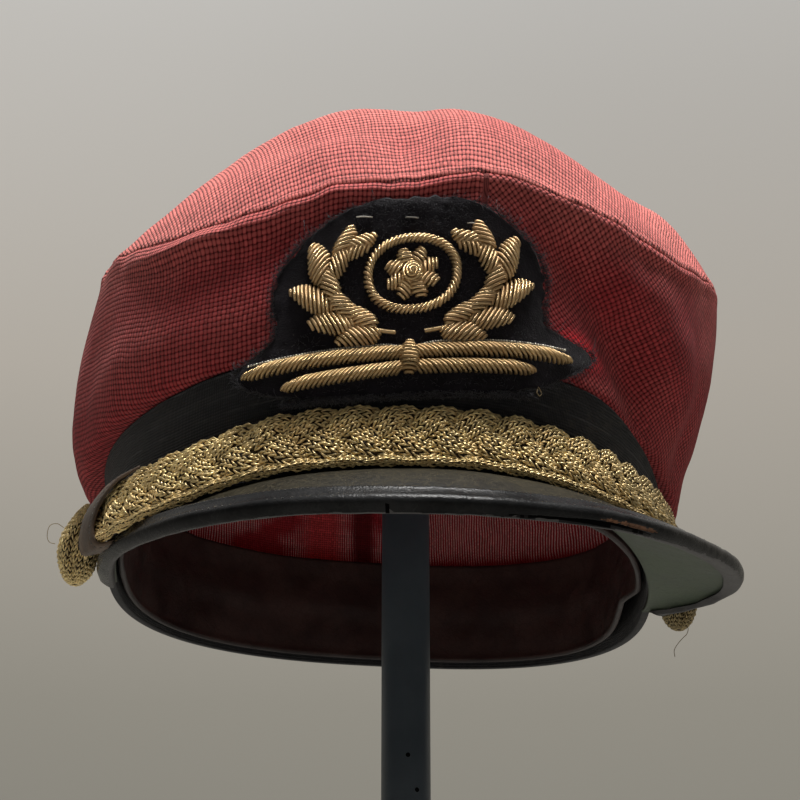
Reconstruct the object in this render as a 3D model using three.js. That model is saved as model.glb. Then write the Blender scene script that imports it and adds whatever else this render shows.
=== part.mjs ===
// A soft-crowned railway cap on a plain display stand.
// Millimetres, +Z up. The origin is the centre of the stand's underside, the cap's peak points to -Y.
import * as THREE from "three";

// ---------------------------------------------------------------- driving dimensions
const HEAD = { half_length: 103, half_width: 84, power: 2.6, egg: 0.09, shear: 5.8 }; // outer oval of the band at the rim
const CAP = { x: -6.7, y: 12, rim_height: 215, lean_deg: 2 }; // the cap's rim centre over the stand, and its lean to +X
const BAND = { height: 33, thickness: 2.2, flare: 4.2, steps: 72 }; // its flare is reached at this height
const SWEATBAND = { top: 37, bottom: -1.5, thickness: 1.2, gap: 0.8 };
const CLOTH = { thickness: 1.5, seam_gap: 0.75, steps: 60, side_rows: 9, top_rows: 8 };
const APEX = { x: 9.4, y: -6, z: 150.5 }; // highest point of the crown, over the stand's pad
const PEAK = { thickness: 1.6, lining: 0.9, gap: 0.5, root_out: -1.4, lining_from: 0.1, across: 7, along: 44 };
const BINDING = { face: 6.6, under: 5, thickness: 1.0, gap: 0.55 };
const BRAID = { from_deg: -73, to_deg: 88.6, steps: 48 };
const PATCH = { thickness: 1.8, gap: 0.7, middle: 3, tilt_deg: 6.5, columns: 12 };
const STAND = { base_radius: 85, base_height: 8, pole_radius: 7.25, pad_radius: 36, gap: 0.3 };

// Side panel of the crown, one row for each direction round the head: distance out from the band's oval and height, at four levels.
const SIDE_SECTIONS = [
  { deg: -180, low_out: 6, low_z: 33, belly_out: 10, belly_z: 45, upper_out: 13, upper_z: 66, seam_out: 12.5, seam_z: 88, dome: 2.3 },
  { deg: -135, low_out: 8.9, low_z: 30, belly_out: 12.8, belly_z: 42, upper_out: 12, upper_z: 64, seam_out: 7, seam_z: 88, dome: 2.4 },
  { deg: -90, low_out: 10, low_z: 27, belly_out: 15.6, belly_z: 40, upper_out: 14, upper_z: 61, seam_out: 9.8, seam_z: 85, dome: 2.5 },
  { deg: -60, low_out: 7.7, low_z: 28.5, belly_out: 11.6, belly_z: 40, upper_out: 10, upper_z: 59, seam_out: 7.6, seam_z: 78, dome: 2.35 },
  { deg: -30, low_out: 4.6, low_z: 32, belly_out: 6, belly_z: 42, upper_out: 6, upper_z: 60, seam_out: 5.4, seam_z: 77, dome: 2.6 },
  { deg: -5, low_out: 4.6, low_z: 38, belly_out: 4.8, belly_z: 46, upper_out: 4.8, upper_z: 65, seam_out: 5, seam_z: 84, dome: 2.3 },
  { deg: 14, low_out: 4.6, low_z: 38, belly_out: 5, belly_z: 46, upper_out: 5.6, upper_z: 66, seam_out: 6.4, seam_z: 88, dome: 2.4 },
  { deg: 34, low_out: 4.8, low_z: 37, belly_out: 5.4, belly_z: 46, upper_out: 8, upper_z: 65, seam_out: 10, seam_z: 84, dome: 2.45 },
  { deg: 62, low_out: 5.3, low_z: 28, belly_out: 7.7, belly_z: 40, upper_out: 15, upper_z: 64, seam_out: 17, seam_z: 88, dome: 2.5 },
  { deg: 90, low_out: 7.6, low_z: 27, belly_out: 8.7, belly_z: 39, upper_out: 19.3, upper_z: 65, seam_out: 23, seam_z: 97, dome: 3.4 },
  { deg: 135, low_out: 8, low_z: 31, belly_out: 11.3, belly_z: 43, upper_out: 14.1, upper_z: 65, seam_out: 13, seam_z: 93, dome: 2.45 },
];
// How far the seam between side and top rises above the sections' own height: it runs in uneven, sagging stretches.
const SEAM_SHIFT = [
  { deg: -180, rise: 4 }, { deg: -135, rise: 7 }, { deg: -100, rise: 10 }, { deg: -85, rise: 9 }, { deg: -70, rise: 7.2 }, { deg: -60, rise: 5.7 }, { deg: -50, rise: 2.4 },
  { deg: -40, rise: -1.5 }, { deg: -30, rise: -2.4 }, { deg: -20, rise: -2.6 }, { deg: -14, rise: -0.8 }, { deg: -9, rise: 1 }, { deg: 0, rise: -0.5 }, { deg: 5, rise: -0.4 },
  { deg: 10, rise: 1.5 }, { deg: 15, rise: 2.1 }, { deg: 20, rise: 1.4 }, { deg: 30, rise: -0.2 }, { deg: 45, rise: -0.6 }, { deg: 55, rise: 0.8 }, { deg: 62, rise: 2.4 },
  { deg: 70, rise: 4.2 }, { deg: 80, rise: 5 }, { deg: 95, rise: 6 }, { deg: 115, rise: 5 }, { deg: 140, rise: 4 },
];
// Lower and upper edge of the band round the head: the lower edge rises over the peak, the upper one sinks at the sides.
const BAND_EDGES = [
  { deg: -180, foot: 0, top: 30 }, { deg: -100, foot: 0, top: 26 }, { deg: -75, foot: -1.5, top: 25 }, { deg: -50, foot: -3.6, top: 25.5 }, { deg: -36, foot: -3.2, top: 27.5 },
  { deg: -25, foot: -0.4, top: 30.5 }, { deg: -12, foot: 3.2, top: 32.5 }, { deg: 2, foot: 5.6, top: 33 }, { deg: 16, foot: 6.4, top: 33.5 }, { deg: 34, foot: 5.4, top: 33.5 },
  { deg: 48, foot: 3.8, top: 28.5 }, { deg: 62, foot: 2, top: 25 }, { deg: 78, foot: 0.4, top: 25 }, { deg: 100, foot: 0, top: 26 }, { deg: 140, foot: 0, top: 29 },
];
const SIDE_FOOT = { inset: 0.6, rise: 0.9 }; // the side panel starts this far in from the band's face and above its top edge

// Soft dents and folds: direction, share of the way up the panel, their half widths, and depth along the surface's normal.
const SIDE_FOLDS = [
  { deg: -62, up: 0.45, wide_deg: 16, tall: 0.3, out: -2.2 },
  { deg: -30, up: 0.8, wide_deg: 14, tall: 0.2, out: 1.2 },
  { deg: 34, up: 0.55, wide_deg: 12, tall: 0.35, out: -2.4 },
  { deg: 72, up: 0.45, wide_deg: 10, tall: 0.3, out: 1.8 },
  { deg: 110, up: 0.4, wide_deg: 9, tall: 0.35, out: -2.2 },
  { deg: 160, up: 0.5, wide_deg: 14, tall: 0.3, out: -1.8 },
  { deg: -150, up: 0.4, wide_deg: 12, tall: 0.3, out: 1.6 },
];
const TOP_FOLDS = [
  { deg: -4, up: 0.18, wide_deg: 9, tall: 0.16, out: -2.0 },
  { deg: 12, up: 0.2, wide_deg: 8, tall: 0.16, out: 1.2 },
  { deg: -48, up: 0.3, wide_deg: 18, tall: 0.22, out: -1.6 },
  { deg: 55, up: 0.3, wide_deg: 18, tall: 0.22, out: -1.4 },
  { deg: 180, up: 0.35, wide_deg: 24, tall: 0.25, out: -1.8 },
];

// Edge of the peak, one row for each direction of its root: the point of the edge, measured from the rim's centre.
const PEAK_EDGE = [
  { root_deg: -88, x: -84.6, y: -6, z: -4, crown: 0.2 },
  { root_deg: -75, x: -83, y: -33, z: -7.4, crown: 0.6 },
  { root_deg: -61, x: -79, y: -61, z: -10.4, crown: 1.2 },
  { root_deg: -46, x: -69.6, y: -87.5, z: -12.8, crown: 2 },
  { root_deg: -32, x: -52.6, y: -114, z: -14.8, crown: 2.6 },
  { root_deg: -17, x: -29.6, y: -133, z: -16, crown: 3 },
  { root_deg: 0, x: -3, y: -141, z: -16.2, crown: 3 },
  { root_deg: 16, x: 21, y: -141, z: -15.8, crown: 3 },
  { root_deg: 30, x: 45.6, y: -132.8, z: -14.4, crown: 2.6 },
  { root_deg: 42, x: 63.4, y: -116.6, z: -12, crown: 2 },
  { root_deg: 54, x: 80.2, y: -91, z: -7.6, crown: 1.6 },
  { root_deg: 64, x: 93, y: -67.8, z: -4, crown: 1.4 },
  { root_deg: 72, x: 100.2, y: -49.6, z: -1.8, crown: 1.2 },
  { root_deg: 79, x: 103.2, y: -33, z: -1.2, crown: 1 },
  { root_deg: 84, x: 99.6, y: -21.5, z: -2.6, crown: 0.6 },
  { root_deg: 88, x: 93.4, y: -12, z: -3.8, crown: 0.3 },
  { root_deg: 91, x: 87.2, y: -3.5, z: -4.4, crown: 0.1 },
];

// Section of the gold braid at the front, outward distance and height, and how its height and its share of that section change round the cap.
const BRAID_SECTION = [
  { out: 2.7, z: 7.4 }, { out: 5.6, z: 6.0 }, { out: 9.2, z: 4.9 }, { out: 10.1, z: 8.5 }, { out: 9.4, z: 14 },
  { out: 7.6, z: 19.4 }, { out: 5.2, z: 21.4 }, { out: 2.7, z: 20.2 },
];
const BRAID_RISE = [
  { deg: -75, z: -12.5, share: 0.5 }, { deg: -62, z: -13.4, share: 0.6 }, { deg: -52, z: -13.4, share: 0.9 }, { deg: -40, z: -12, share: 1 }, { deg: -29, z: -9.2, share: 1 }, { deg: -20, z: -5, share: 1 },
  { deg: -11, z: -2, share: 1 }, { deg: 2, z: 0, share: 1 }, { deg: 16, z: 0.8, share: 1 }, { deg: 30, z: -0.6, share: 1 }, { deg: 45, z: -2, share: 0.95 }, { deg: 60, z: -2.2, share: 0.85 }, { deg: 70, z: -3.5, share: 0.6 }, { deg: 80, z: -5, share: 0.5 }, { deg: 90, z: -6, share: 0.5 },
];
const KEEPERS = [
  { name: "keeper_left", from_deg: -55, to_deg: -48 },
  { name: "keeper_right", from_deg: 66, to_deg: 74 },
];
const KNOBS = [
  { name: "braid_knob_left", deg: -78, out: 8.6, z: 4.2, wide: 6.2, tall: 13 },
  { name: "braid_knob_right", deg: 94, out: 9.4, z: 6, wide: 6.4, tall: 13 },
];

// Outline of the felt patch: its reach to the left and to the right at each height above the rim, and how far its face stands out at the foot.
const PATCH_ROWS = [
  { z: 22.4, left: 24, right: 24, off: 2.6 }, { z: 23.6, left: 33, right: 33, off: 2.4 }, { z: 27, left: 42, right: 41, off: 2.0 }, { z: 31, left: 47, right: 47.5, off: 1.6 },
  { z: 34, left: 46.8, right: 52, off: 1.3 }, { z: 36.4, left: 44, right: 53.8, off: 1.0 }, { z: 38.6, left: 41, right: 51.5, off: 0.8 }, { z: 40.8, left: 38.5, right: 44.5, off: 0.6 },
  { z: 43.4, left: 37.3, right: 39, off: 0.4 }, { z: 48, left: 38, right: 38, off: 0.2 }, { z: 55, left: 38.3, right: 38.3, off: 0 }, { z: 61, left: 36.5, right: 36.5, off: 0 },
  { z: 67, left: 32.5, right: 32.5, off: 0 }, { z: 73, left: 26, right: 26, off: 0 }, { z: 77.5, left: 18.5, right: 18.5, off: 0 }, { z: 80, left: 9, right: 9, off: 0 },
];
const EMBLEM = {
  lift: 0.5, thickness: 1.5,
  wreath: { z: 57.5, wide: 26, tall: 18, width: 6.6, from_deg: -62, to_deg: 242 },
  boss: { z: 57, wide: 13.5, tall: 11, dome: 1.6 },
  bar: { z: 30, half: 37, width: 5 },
};

// ---------------------------------------------------------------- curves and tables
const rad = THREE.MathUtils.degToRad;
const mix = THREE.MathUtils.lerp;
const vec = (x, y, z) => new THREE.Vector3(x, y, z);

// Smooth value of a table's column: rows are in order of their key, and a closed table goes on round 360 degrees.
function column(rows, key, name, at, closed) {
  const n = rows.length;
  const keyAt = (i) => (closed ? rows[((i % n) + n) % n][key] + 360 * Math.floor(i / n) : rows[Math.min(Math.max(i, 0), n - 1)][key]);
  const val = (i) => (closed ? rows[((i % n) + n) % n][name] : rows[Math.min(Math.max(i, 0), n - 1)][name]);
  let i = 0;
  if (closed) {
    while (at < keyAt(0)) at += 360;
    while (at >= keyAt(n)) at -= 360;
    while (at >= keyAt(i + 1)) i++;
  } else {
    at = Math.min(Math.max(at, keyAt(0)), keyAt(n - 1));
    while (i < n - 2 && at >= keyAt(i + 1)) i++;
  }
  const t = (at - keyAt(i)) / (keyAt(i + 1) - keyAt(i));
  const slope = (j) => (keyAt(j + 1) === keyAt(j - 1) ? 0 : (val(j + 1) - val(j - 1)) / (keyAt(j + 1) - keyAt(j - 1)));
  const h = keyAt(i + 1) - keyAt(i);
  const t2 = t * t, t3 = t2 * t;
  return (2 * t3 - 3 * t2 + 1) * val(i) + (t3 - 2 * t2 + t) * h * slope(i) + (3 * t2 - 2 * t3) * val(i + 1) + (t3 - t2) * h * slope(i + 1);
}

// The band's outer oval at the rim, seen from above: direction 0 is the front, 90 is +X.
function oval(deg) {
  const s = Math.sin(rad(deg)), c = Math.cos(rad(deg));
  const r = (Math.abs(c / HEAD.half_length) ** HEAD.power + Math.abs(s / HEAD.half_width) ** HEAD.power) ** (-1 / HEAD.power);
  const y = -r * c;
  return [r * s * (1 + (HEAD.egg * y) / HEAD.half_length) + (HEAD.shear * y) / HEAD.half_length, y];
}
function around(deg, out, z) {
  const [x, y] = oval(deg), [xa, ya] = oval(deg - 0.5), [xb, yb] = oval(deg + 0.5);
  const l = Math.hypot(xb - xa, yb - ya);
  return vec(x + (out * (yb - ya)) / l, y - (out * (xb - xa)) / l, z);
}
const bandOut = (z) => BAND.flare * (Math.max(z, 0) / BAND.height) ** 2;
const bandFoot = (deg) => column(BAND_EDGES, "deg", "foot", deg, true);
const bandTop = (deg) => column(BAND_EDGES, "deg", "top", deg, true);
const bump = (x, wide) => Math.exp(-((x / wide) ** 2));
const turn = (a, b) => ((((a - b + 180) % 360) + 360) % 360) - 180;
const folds = (rows, deg, up) => rows.reduce((sum, f) => sum + f.out * bump(turn(deg, f.deg), f.wide_deg) * bump(up - f.up, f.tall), 0);

// Crown side panel: up runs from 0 at the band to 1 at the seam.
function sideProfile(deg, up) {
  const get = (name) => column(SIDE_SECTIONS, "deg", name, deg, true);
  const knots = [
    { up: 0, out: bandOut(bandTop(deg)) - SIDE_FOOT.inset, z: bandTop(deg) + SIDE_FOOT.rise },
    { up: 0.16, out: get("low_out"), z: get("low_z") },
    { up: 0.38, out: get("belly_out"), z: get("belly_z") },
    { up: 0.69, out: get("upper_out"), z: get("upper_z") },
    { up: 1, out: get("seam_out"), z: get("seam_z") },
  ];
  const fold = folds(SIDE_FOLDS, deg, up) * Math.sin(Math.PI * Math.min(1, up * 1.02));
  const shift = column(SEAM_SHIFT, "deg", "rise", deg, true) * Math.min(1, Math.max(0, up)) ** 2.5;
  return { out: column(knots, "up", "out", up, false) + fold, z: column(knots, "up", "z", up, false) + shift };
}
function sidePoint(deg, up) {
  const p = sideProfile(deg, up);
  return around(deg, p.out, p.z);
}
// Crown top panel: up runs from 0 at the seam to 1 at the apex.
function topPoint(deg, up) {
  const edge = sidePoint(deg, 1), power = column(SIDE_SECTIONS, "deg", "dome", deg, true);
  const fold = folds(TOP_FOLDS, deg, up) * Math.sin(Math.PI * up) ** 0.7;
  return vec(mix(edge.x, APEX.x, up), mix(edge.y, APEX.y, up), mix(edge.z, APEX.z, 1 - (1 - up) ** power) + fold);
}
// Peak: along runs with the table's rows, out runs from 0 at the root to 1 at the edge.
function peakPoint(along, out) {
  const rows = PEAK_EDGE.map((row, i) => ({ ...row, at: i }));
  const get = (name) => column(rows, "at", name, along, false);
  const deg = get("root_deg");
  const root = around(deg, PEAK.root_out, bandFoot(deg) - 0.4), edge = vec(get("x"), get("y"), get("z"));
  const p = root.clone().lerp(edge, out), rise = get("crown") * 4 * out * (1 - out);
  const [nx, ny] = [edge.x - root.x, edge.y - root.y], l = Math.hypot(nx, ny) || 1;
  return p.add(vec((rise * 0.55 * nx) / l, (rise * 0.55 * ny) / l, rise * 0.83));
}

// ---------------------------------------------------------------- closed bodies
function body(points, triangles) {
  let volume = 0;
  for (const [a, b, c] of triangles) volume += points[a].dot(points[b].clone().cross(points[c])) / 6;
  const index = triangles.flatMap(([a, b, c]) => (volume > 0 ? [a, b, c] : [a, c, b]));
  const g = new THREE.BufferGeometry();
  g.setAttribute("position", new THREE.Float32BufferAttribute(points.flatMap((p) => [p.x, p.y, p.z]), 3));
  g.setIndex(index);
  g.computeVertexNormals();
  return g;
}
// A wall between two grids of points [i][j]. ring closes it along i, tip closes its last j on one point.
function wall(outer, inner, ring, tip) {
  const ni = outer.length, nj = outer[0].length, points = [...outer.flat(), ...inner.flat()], triangles = [];
  const o = (i, j) => (i % ni) * nj + j, n = (i, j) => ni * nj + o(i, j);
  const quad = (a, b, c, d) => triangles.push([a, b, c], [a, c, d]);
  for (let i = 0; i < (ring ? ni : ni - 1); i++) {
    for (let j = 0; j < nj - 1; j++) {
      quad(o(i, j), o(i + 1, j), o(i + 1, j + 1), o(i, j + 1));
      quad(n(i, j + 1), n(i + 1, j + 1), n(i + 1, j), n(i, j));
    }
    quad(n(i, 0), n(i + 1, 0), o(i + 1, 0), o(i, 0));
    if (!tip) quad(o(i, nj - 1), o(i + 1, nj - 1), n(i + 1, nj - 1), n(i, nj - 1));
  }
  if (tip) {
    const a = points.push(tip.outer) - 1, b = points.push(tip.inner) - 1;
    for (let i = 0; i < ni; i++) triangles.push([o(i, nj - 1), o(i + 1, nj - 1), a], [n(i + 1, nj - 1), n(i, nj - 1), b]);
  }
  if (!ring)
    for (let j = 0; j < nj - 1; j++) {
      quad(o(0, j), o(0, j + 1), n(0, j + 1), n(0, j));
      quad(n(ni - 1, j), n(ni - 1, j + 1), o(ni - 1, j + 1), o(ni - 1, j));
    }
  return body(points, triangles);
}
// A loft through sections of the same number of points; the ends are closed by triangles of the flat outline.
function loft(sections, flat) {
  const ns = sections.length, np = sections[0].length, points = sections.flat(), triangles = [];
  for (let i = 0; i < ns - 1; i++)
    for (let j = 0; j < np; j++) {
      const a = i * np + j, b = i * np + ((j + 1) % np);
      triangles.push([a, b, b + np], [a, b + np, a + np]);
    }
  const last = (ns - 1) * np, way = Math.sign(THREE.ShapeUtils.area(flat));
  for (const face of THREE.ShapeUtils.triangulateShape(flat, [])) {
    const same = Math.sign(THREE.ShapeUtils.area(face.map((k) => flat[k]))) === way;
    const [a, b, c] = same ? face : [...face].reverse();
    triangles.push([c, b, a], [last + a, last + b, last + c]);
  }
  return body(points, triangles);
}
const span = (n, f) => Array.from({ length: n }, (_, i) => f(i, n > 1 ? i / (n - 1) : 0));
// Unit normal of a surface f(u, v), pointing along the given side.
function normalOf(f, u, v, du, dv, side) {
  const a = f(u + du, v).sub(f(u - du, v)), b = f(u, v + dv).sub(f(u, v - dv));
  const n = a.cross(b).normalize();
  return n.dot(side) < 0 ? n.negate() : n;
}
const centreAxis = vec(0, 0, 60);
function clothWall(surface, from, to, rows, tip) {
  const shrink = (deg, up) => {
    const p = surface(deg, up), n = normalOf(surface, deg, Math.min(Math.max(up, 0.02), 0.97), 1.5, 0.02, p.clone().sub(centreAxis));
    return p.addScaledVector(n, -CLOTH.thickness);
  };
  const grid = (f) => span(CLOTH.steps, (i) => span(rows, (j, t) => f(-180 + (360 * i) / CLOTH.steps, mix(from, to, t))));
  return wall(grid(surface), grid(shrink), true, tip);
}

// ---------------------------------------------------------------- materials
const material = (color, roughness, metalness = 0) => new THREE.MeshStandardMaterial({ color, roughness, metalness });
const RED_CLOTH = material(0xb1413f, 0.95), BLACK_RIBBON = material(0x17161a, 0.85), BROWN_LEATHER = material(0x3a2520, 0.6);
const PATENT = material(0x14140f, 0.28), GREEN_LEATHER = material(0x4c5f45, 0.6), BINDING_LEATHER = material(0x26272a, 0.4);
const GOLD = material(0x9a7b3c, 0.45, 0.8), KEEPER_LEATHER = material(0x33281f, 0.55), FELT = material(0x14131b, 1.0);
const STAND_PAINT = material(0x1b2027, 0.45);

const cap = new THREE.Group();
cap.position.set(CAP.x, CAP.y, CAP.rim_height);
cap.rotation.y = rad(CAP.lean_deg);
const stand = new THREE.Group();
const add = (group, name, geometry, mat) => {
  const mesh = new THREE.Mesh(geometry, mat);
  mesh.name = name;
  group.add(mesh);
};

// ---------------------------------------------------------------- crown
const seamShare = CLOTH.seam_gap / 60;
add(cap, "crown_side", clothWall(sidePoint, 0, 1 - seamShare, CLOTH.side_rows), RED_CLOTH);
add(
  cap,
  "crown_top",
  clothWall(topPoint, seamShare * 0.5, 0.9, CLOTH.top_rows, { outer: vec(APEX.x, APEX.y, APEX.z), inner: vec(APEX.x, APEX.y, APEX.z - CLOTH.thickness) }),
  RED_CLOTH,
);

// ---------------------------------------------------------------- band and sweatband
const bandGrid = (inset) =>
  span(BAND.steps, (i) => {
    const deg = -180 + (360 * i) / BAND.steps;
    return span(3, (j, t) => {
      const z = mix(bandFoot(deg), bandTop(deg), t);
      return around(deg, bandOut(z) - inset, z);
    });
  });
add(cap, "cap_band", wall(bandGrid(0), bandGrid(BAND.thickness), true), BLACK_RIBBON);
const sweatGrid = (inset) =>
  span(BAND.steps, (i) => {
    const deg = -180 + (360 * i) / BAND.steps;
    return span(3, (j, t) => {
      const z = mix(Math.min(0, bandFoot(deg)) + SWEATBAND.bottom, SWEATBAND.top, t);
      const stop = BAND.thickness + SWEATBAND.gap + (z > 20 ? 1 : 0);
      return around(deg, bandOut(Math.min(z, bandTop(deg))) - stop - inset, z);
    });
  });
add(cap, "sweatband", wall(sweatGrid(0), sweatGrid(SWEATBAND.thickness), true), BROWN_LEATHER);

// ---------------------------------------------------------------- peak, its lining and its binding
const lastRow = PEAK_EDGE.length - 1;
const peakNormal = (along, out) => normalOf(peakPoint, Math.min(Math.max(along, 0.06), lastRow - 0.06), Math.min(Math.max(out, 0.06), 0.94), 0.05, 0.05, vec(0, -0.2, 1));
const peakSheet = (depth, from = 0) =>
  span(PEAK.along, (i, s) =>
    span(PEAK.across, (j, t) => {
      const along = mix(0, lastRow, s), out = mix(from, 1, t);
      return peakPoint(along, out).addScaledVector(peakNormal(along, out), -depth);
    }),
  );
add(cap, "peak", wall(peakSheet(0), peakSheet(PEAK.thickness), false), PATENT);
const liningTop = PEAK.thickness + PEAK.gap;
add(cap, "peak_lining", wall(peakSheet(liningTop, PEAK.lining_from), peakSheet(liningTop + PEAK.lining, PEAK.lining_from), false), GREEN_LEATHER);

const stack = liningTop + PEAK.lining; // whole thickness inside the binding
function bindingOutline(share) {
  const f = BINDING.face * share, u = BINDING.under * share, g = BINDING.gap, t = BINDING.thickness;
  return [
    [-f, g], [-f, g + t], [0, g + t], [g + t, -0.2], [g + t + 0.15, -stack / 2], [g + t, -stack], [0, -stack - g - t - 0.3],
    [-u, -stack - g - t - 0.3], [-u, -stack - g - 0.3], [g, -stack - g], [g, g],
  ].map(([a, b]) => new THREE.Vector2(a, b));
}
const bindingSections = span(PEAK.along, (i, s) => {
  const along = mix(0, lastRow, s), edge = peakPoint(along, 1), near = peakPoint(along, 0.8), root = peakPoint(along, 0);
  const n = peakNormal(along, 1), d = edge.clone().sub(near);
  d.addScaledVector(n, -d.dot(n)).normalize();
  const share = Math.min(1, Math.max(0.12, (edge.distanceTo(root) - 2.2) / (BINDING.face * 1.6)));
  return bindingOutline(share).map((q) => edge.clone().addScaledVector(d, q.x).addScaledVector(n, q.y));
});
add(cap, "peak_binding", loft(bindingSections, bindingOutline(1)), BINDING_LEATHER);

// ---------------------------------------------------------------- braid, its keepers and end knobs
const braidMiddle = { out: 5.6, z: 13.4 };
const braidRise = (deg) => column(BRAID_RISE, "deg", "z", deg, false);
const sectionAt = (deg, outline) => {
  const share = column(BRAID_RISE, "deg", "share", deg, false), drop = braidRise(deg);
  return outline.map((q) => around(deg, mix(braidMiddle.out - 1.8 * (1 - share), q.out, share), mix(braidMiddle.z, q.z, share) + drop));
};
const flatOf = (outline) => outline.map((q) => new THREE.Vector2(q.out, q.z));
add(cap, "braid", loft(span(BRAID.steps, (i, s) => sectionAt(mix(BRAID.from_deg, BRAID.to_deg, s), BRAID_SECTION)), flatOf(BRAID_SECTION)), GOLD);

const swell = (grow) => BRAID_SECTION.slice(1, 7).map((q) => {
  const l = Math.hypot(q.out - braidMiddle.out, q.z - braidMiddle.z);
  return { out: q.out + (grow * (q.out - braidMiddle.out)) / l, z: q.z + (grow * (q.z - braidMiddle.z)) / l };
});
const keeperOutline = [...swell(1.4), ...swell(0.6).reverse()];
for (const k of KEEPERS) add(cap, k.name, loft(span(4, (i, s) => sectionAt(mix(k.from_deg, k.to_deg, s), keeperOutline)), flatOf(keeperOutline)), KEEPER_LEATHER);

for (const k of KNOBS) {
  const g = new THREE.SphereGeometry(1, 18, 12);
  g.deleteAttribute("normal");
  g.deleteAttribute("uv");
  const mesh = new THREE.Mesh(g, GOLD);
  mesh.name = k.name;
  g.rotateX(Math.PI / 2);
  g.scale(k.wide, k.wide, k.tall);
  mesh.position.copy(around(k.deg, k.out, k.z));
  cap.add(mesh);
}

// ---------------------------------------------------------------- felt patch and its gold emblem
function upAtHeight(deg, z) {
  let lo = 0.05, hi = 1;
  for (let k = 0; k < 30; k++) {
    const m = (lo + hi) / 2;
    if (sideProfile(deg, m).z < z) lo = m;
    else hi = m;
  }
  return (lo + hi) / 2;
}
// A point of the patch: across is the distance sideways from its middle, lift is measured from its back.
function patchPoint(across, level, lift) {
  const z = level + across * Math.tan(rad(PATCH.tilt_deg));
  const deg = PATCH.middle + THREE.MathUtils.radToDeg(across / 106);
  const behind = z > bandTop(deg) + 3 ? sideProfile(deg, upAtHeight(deg, z)).out : Math.max(bandOut(bandTop(deg)), sideProfile(deg, upAtHeight(deg, bandTop(deg) + 3)).out);
  const off = column(PATCH_ROWS, "z", "off", level, false);
  return around(deg, behind + PATCH.gap + off + lift, z);
}
const patchGrid = (lift) => PATCH_ROWS.map((row) => span(PATCH.columns, (i, s) => patchPoint(mix(-row.left, row.right, s), row.z, lift)));
add(cap, "badge_patch", wall(patchGrid(PATCH.thickness), patchGrid(0), false), FELT);

const emblemLift = PATCH.thickness + EMBLEM.lift;
const ribbon = (path, width, n) => {
  const rows = (lift) =>
    span(n, (i, s) => {
      const p = path(s), q = path(s + 0.01), l = Math.hypot(q[0] - p[0], q[1] - p[1]);
      const side = [-(q[1] - p[1]) / l, (q[0] - p[0]) / l], half = (width / 2) * Math.min(1, 0.35 + 3 * Math.sin(Math.PI * s));
      return span(3, (j, t) => patchPoint(p[0] + side[0] * mix(-half, half, t), p[1] + side[1] * mix(-half, half, t), lift + (lift > emblemLift && j === 1 ? 0.5 : 0)));
    });
  return wall(rows(emblemLift + EMBLEM.thickness), rows(emblemLift), false);
};
const w = EMBLEM.wreath;
add(cap, "badge_wreath", ribbon((s) => {
  const a = rad(mix(w.from_deg, w.to_deg, s) );
  return [w.wide * Math.cos(a + Math.PI), w.z - 1 + w.tall * Math.sin(a + Math.PI)];
}, w.width, 30), GOLD);
const b = EMBLEM.boss;
const bossRing = (lift) => span(24, (i) => span(3, (j) => {
  const a = (2 * Math.PI * i) / 24, share = 1 - j * 0.3;
  return patchPoint(b.wide * share * Math.cos(a), b.z + b.tall * share * Math.sin(a), lift + (lift > emblemLift ? b.dome * Math.sqrt(1 - share * share * 0.9) : 0));
}));
add(cap, "badge_boss", wall(bossRing(emblemLift + 0.6), bossRing(emblemLift), true, {
  outer: patchPoint(0, b.z, emblemLift + 0.6 + b.dome), inner: patchPoint(0, b.z, emblemLift),
}), GOLD);
const bar = EMBLEM.bar;
add(cap, "badge_bar", ribbon((s) => [mix(-bar.half, bar.half, s), bar.z + 2.2 * (2 * s - 1) ** 2], bar.width, 20), GOLD);

// ---------------------------------------------------------------- stand
const padTop = CAP.rim_height + APEX.z - 3.2;
const lathe = (rows, n) => {
  const g = new THREE.LatheGeometry(rows.map(([r, z]) => new THREE.Vector2(r, z)), n);
  g.rotateX(Math.PI / 2);
  return g;
};
add(stand, "stand_base", lathe([[0, 0], [STAND.base_radius - 1, 0], [STAND.base_radius, 1], [STAND.base_radius, STAND.base_height - 1.5], [STAND.base_radius - 1.5, STAND.base_height], [0, STAND.base_height]], 48), STAND_PAINT);
const padFoot = padTop - 20;
add(stand, "stand_pole", lathe([[0, STAND.base_height + STAND.gap], [STAND.pole_radius, STAND.base_height + STAND.gap], [STAND.pole_radius, padFoot - STAND.gap], [0, padFoot - STAND.gap]], 24), STAND_PAINT);
const p = STAND.pad_radius;
add(stand, "stand_pad", lathe([[0, padFoot], [p * 0.5, padFoot], [p * 0.92, padFoot + 3], [p, padFoot + 6], [p * 0.94, padFoot + 9], [p * 0.75, padFoot + 14], [p * 0.5, padFoot + 17.5], [p * 0.25, padFoot + 19.4], [0, padTop]], 32), STAND_PAINT);

const part = new THREE.Group();
part.add(cap, stand);
export default part;
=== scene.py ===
import math

import bpy
import numpy as np
from mathutils import Matrix, Vector


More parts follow.
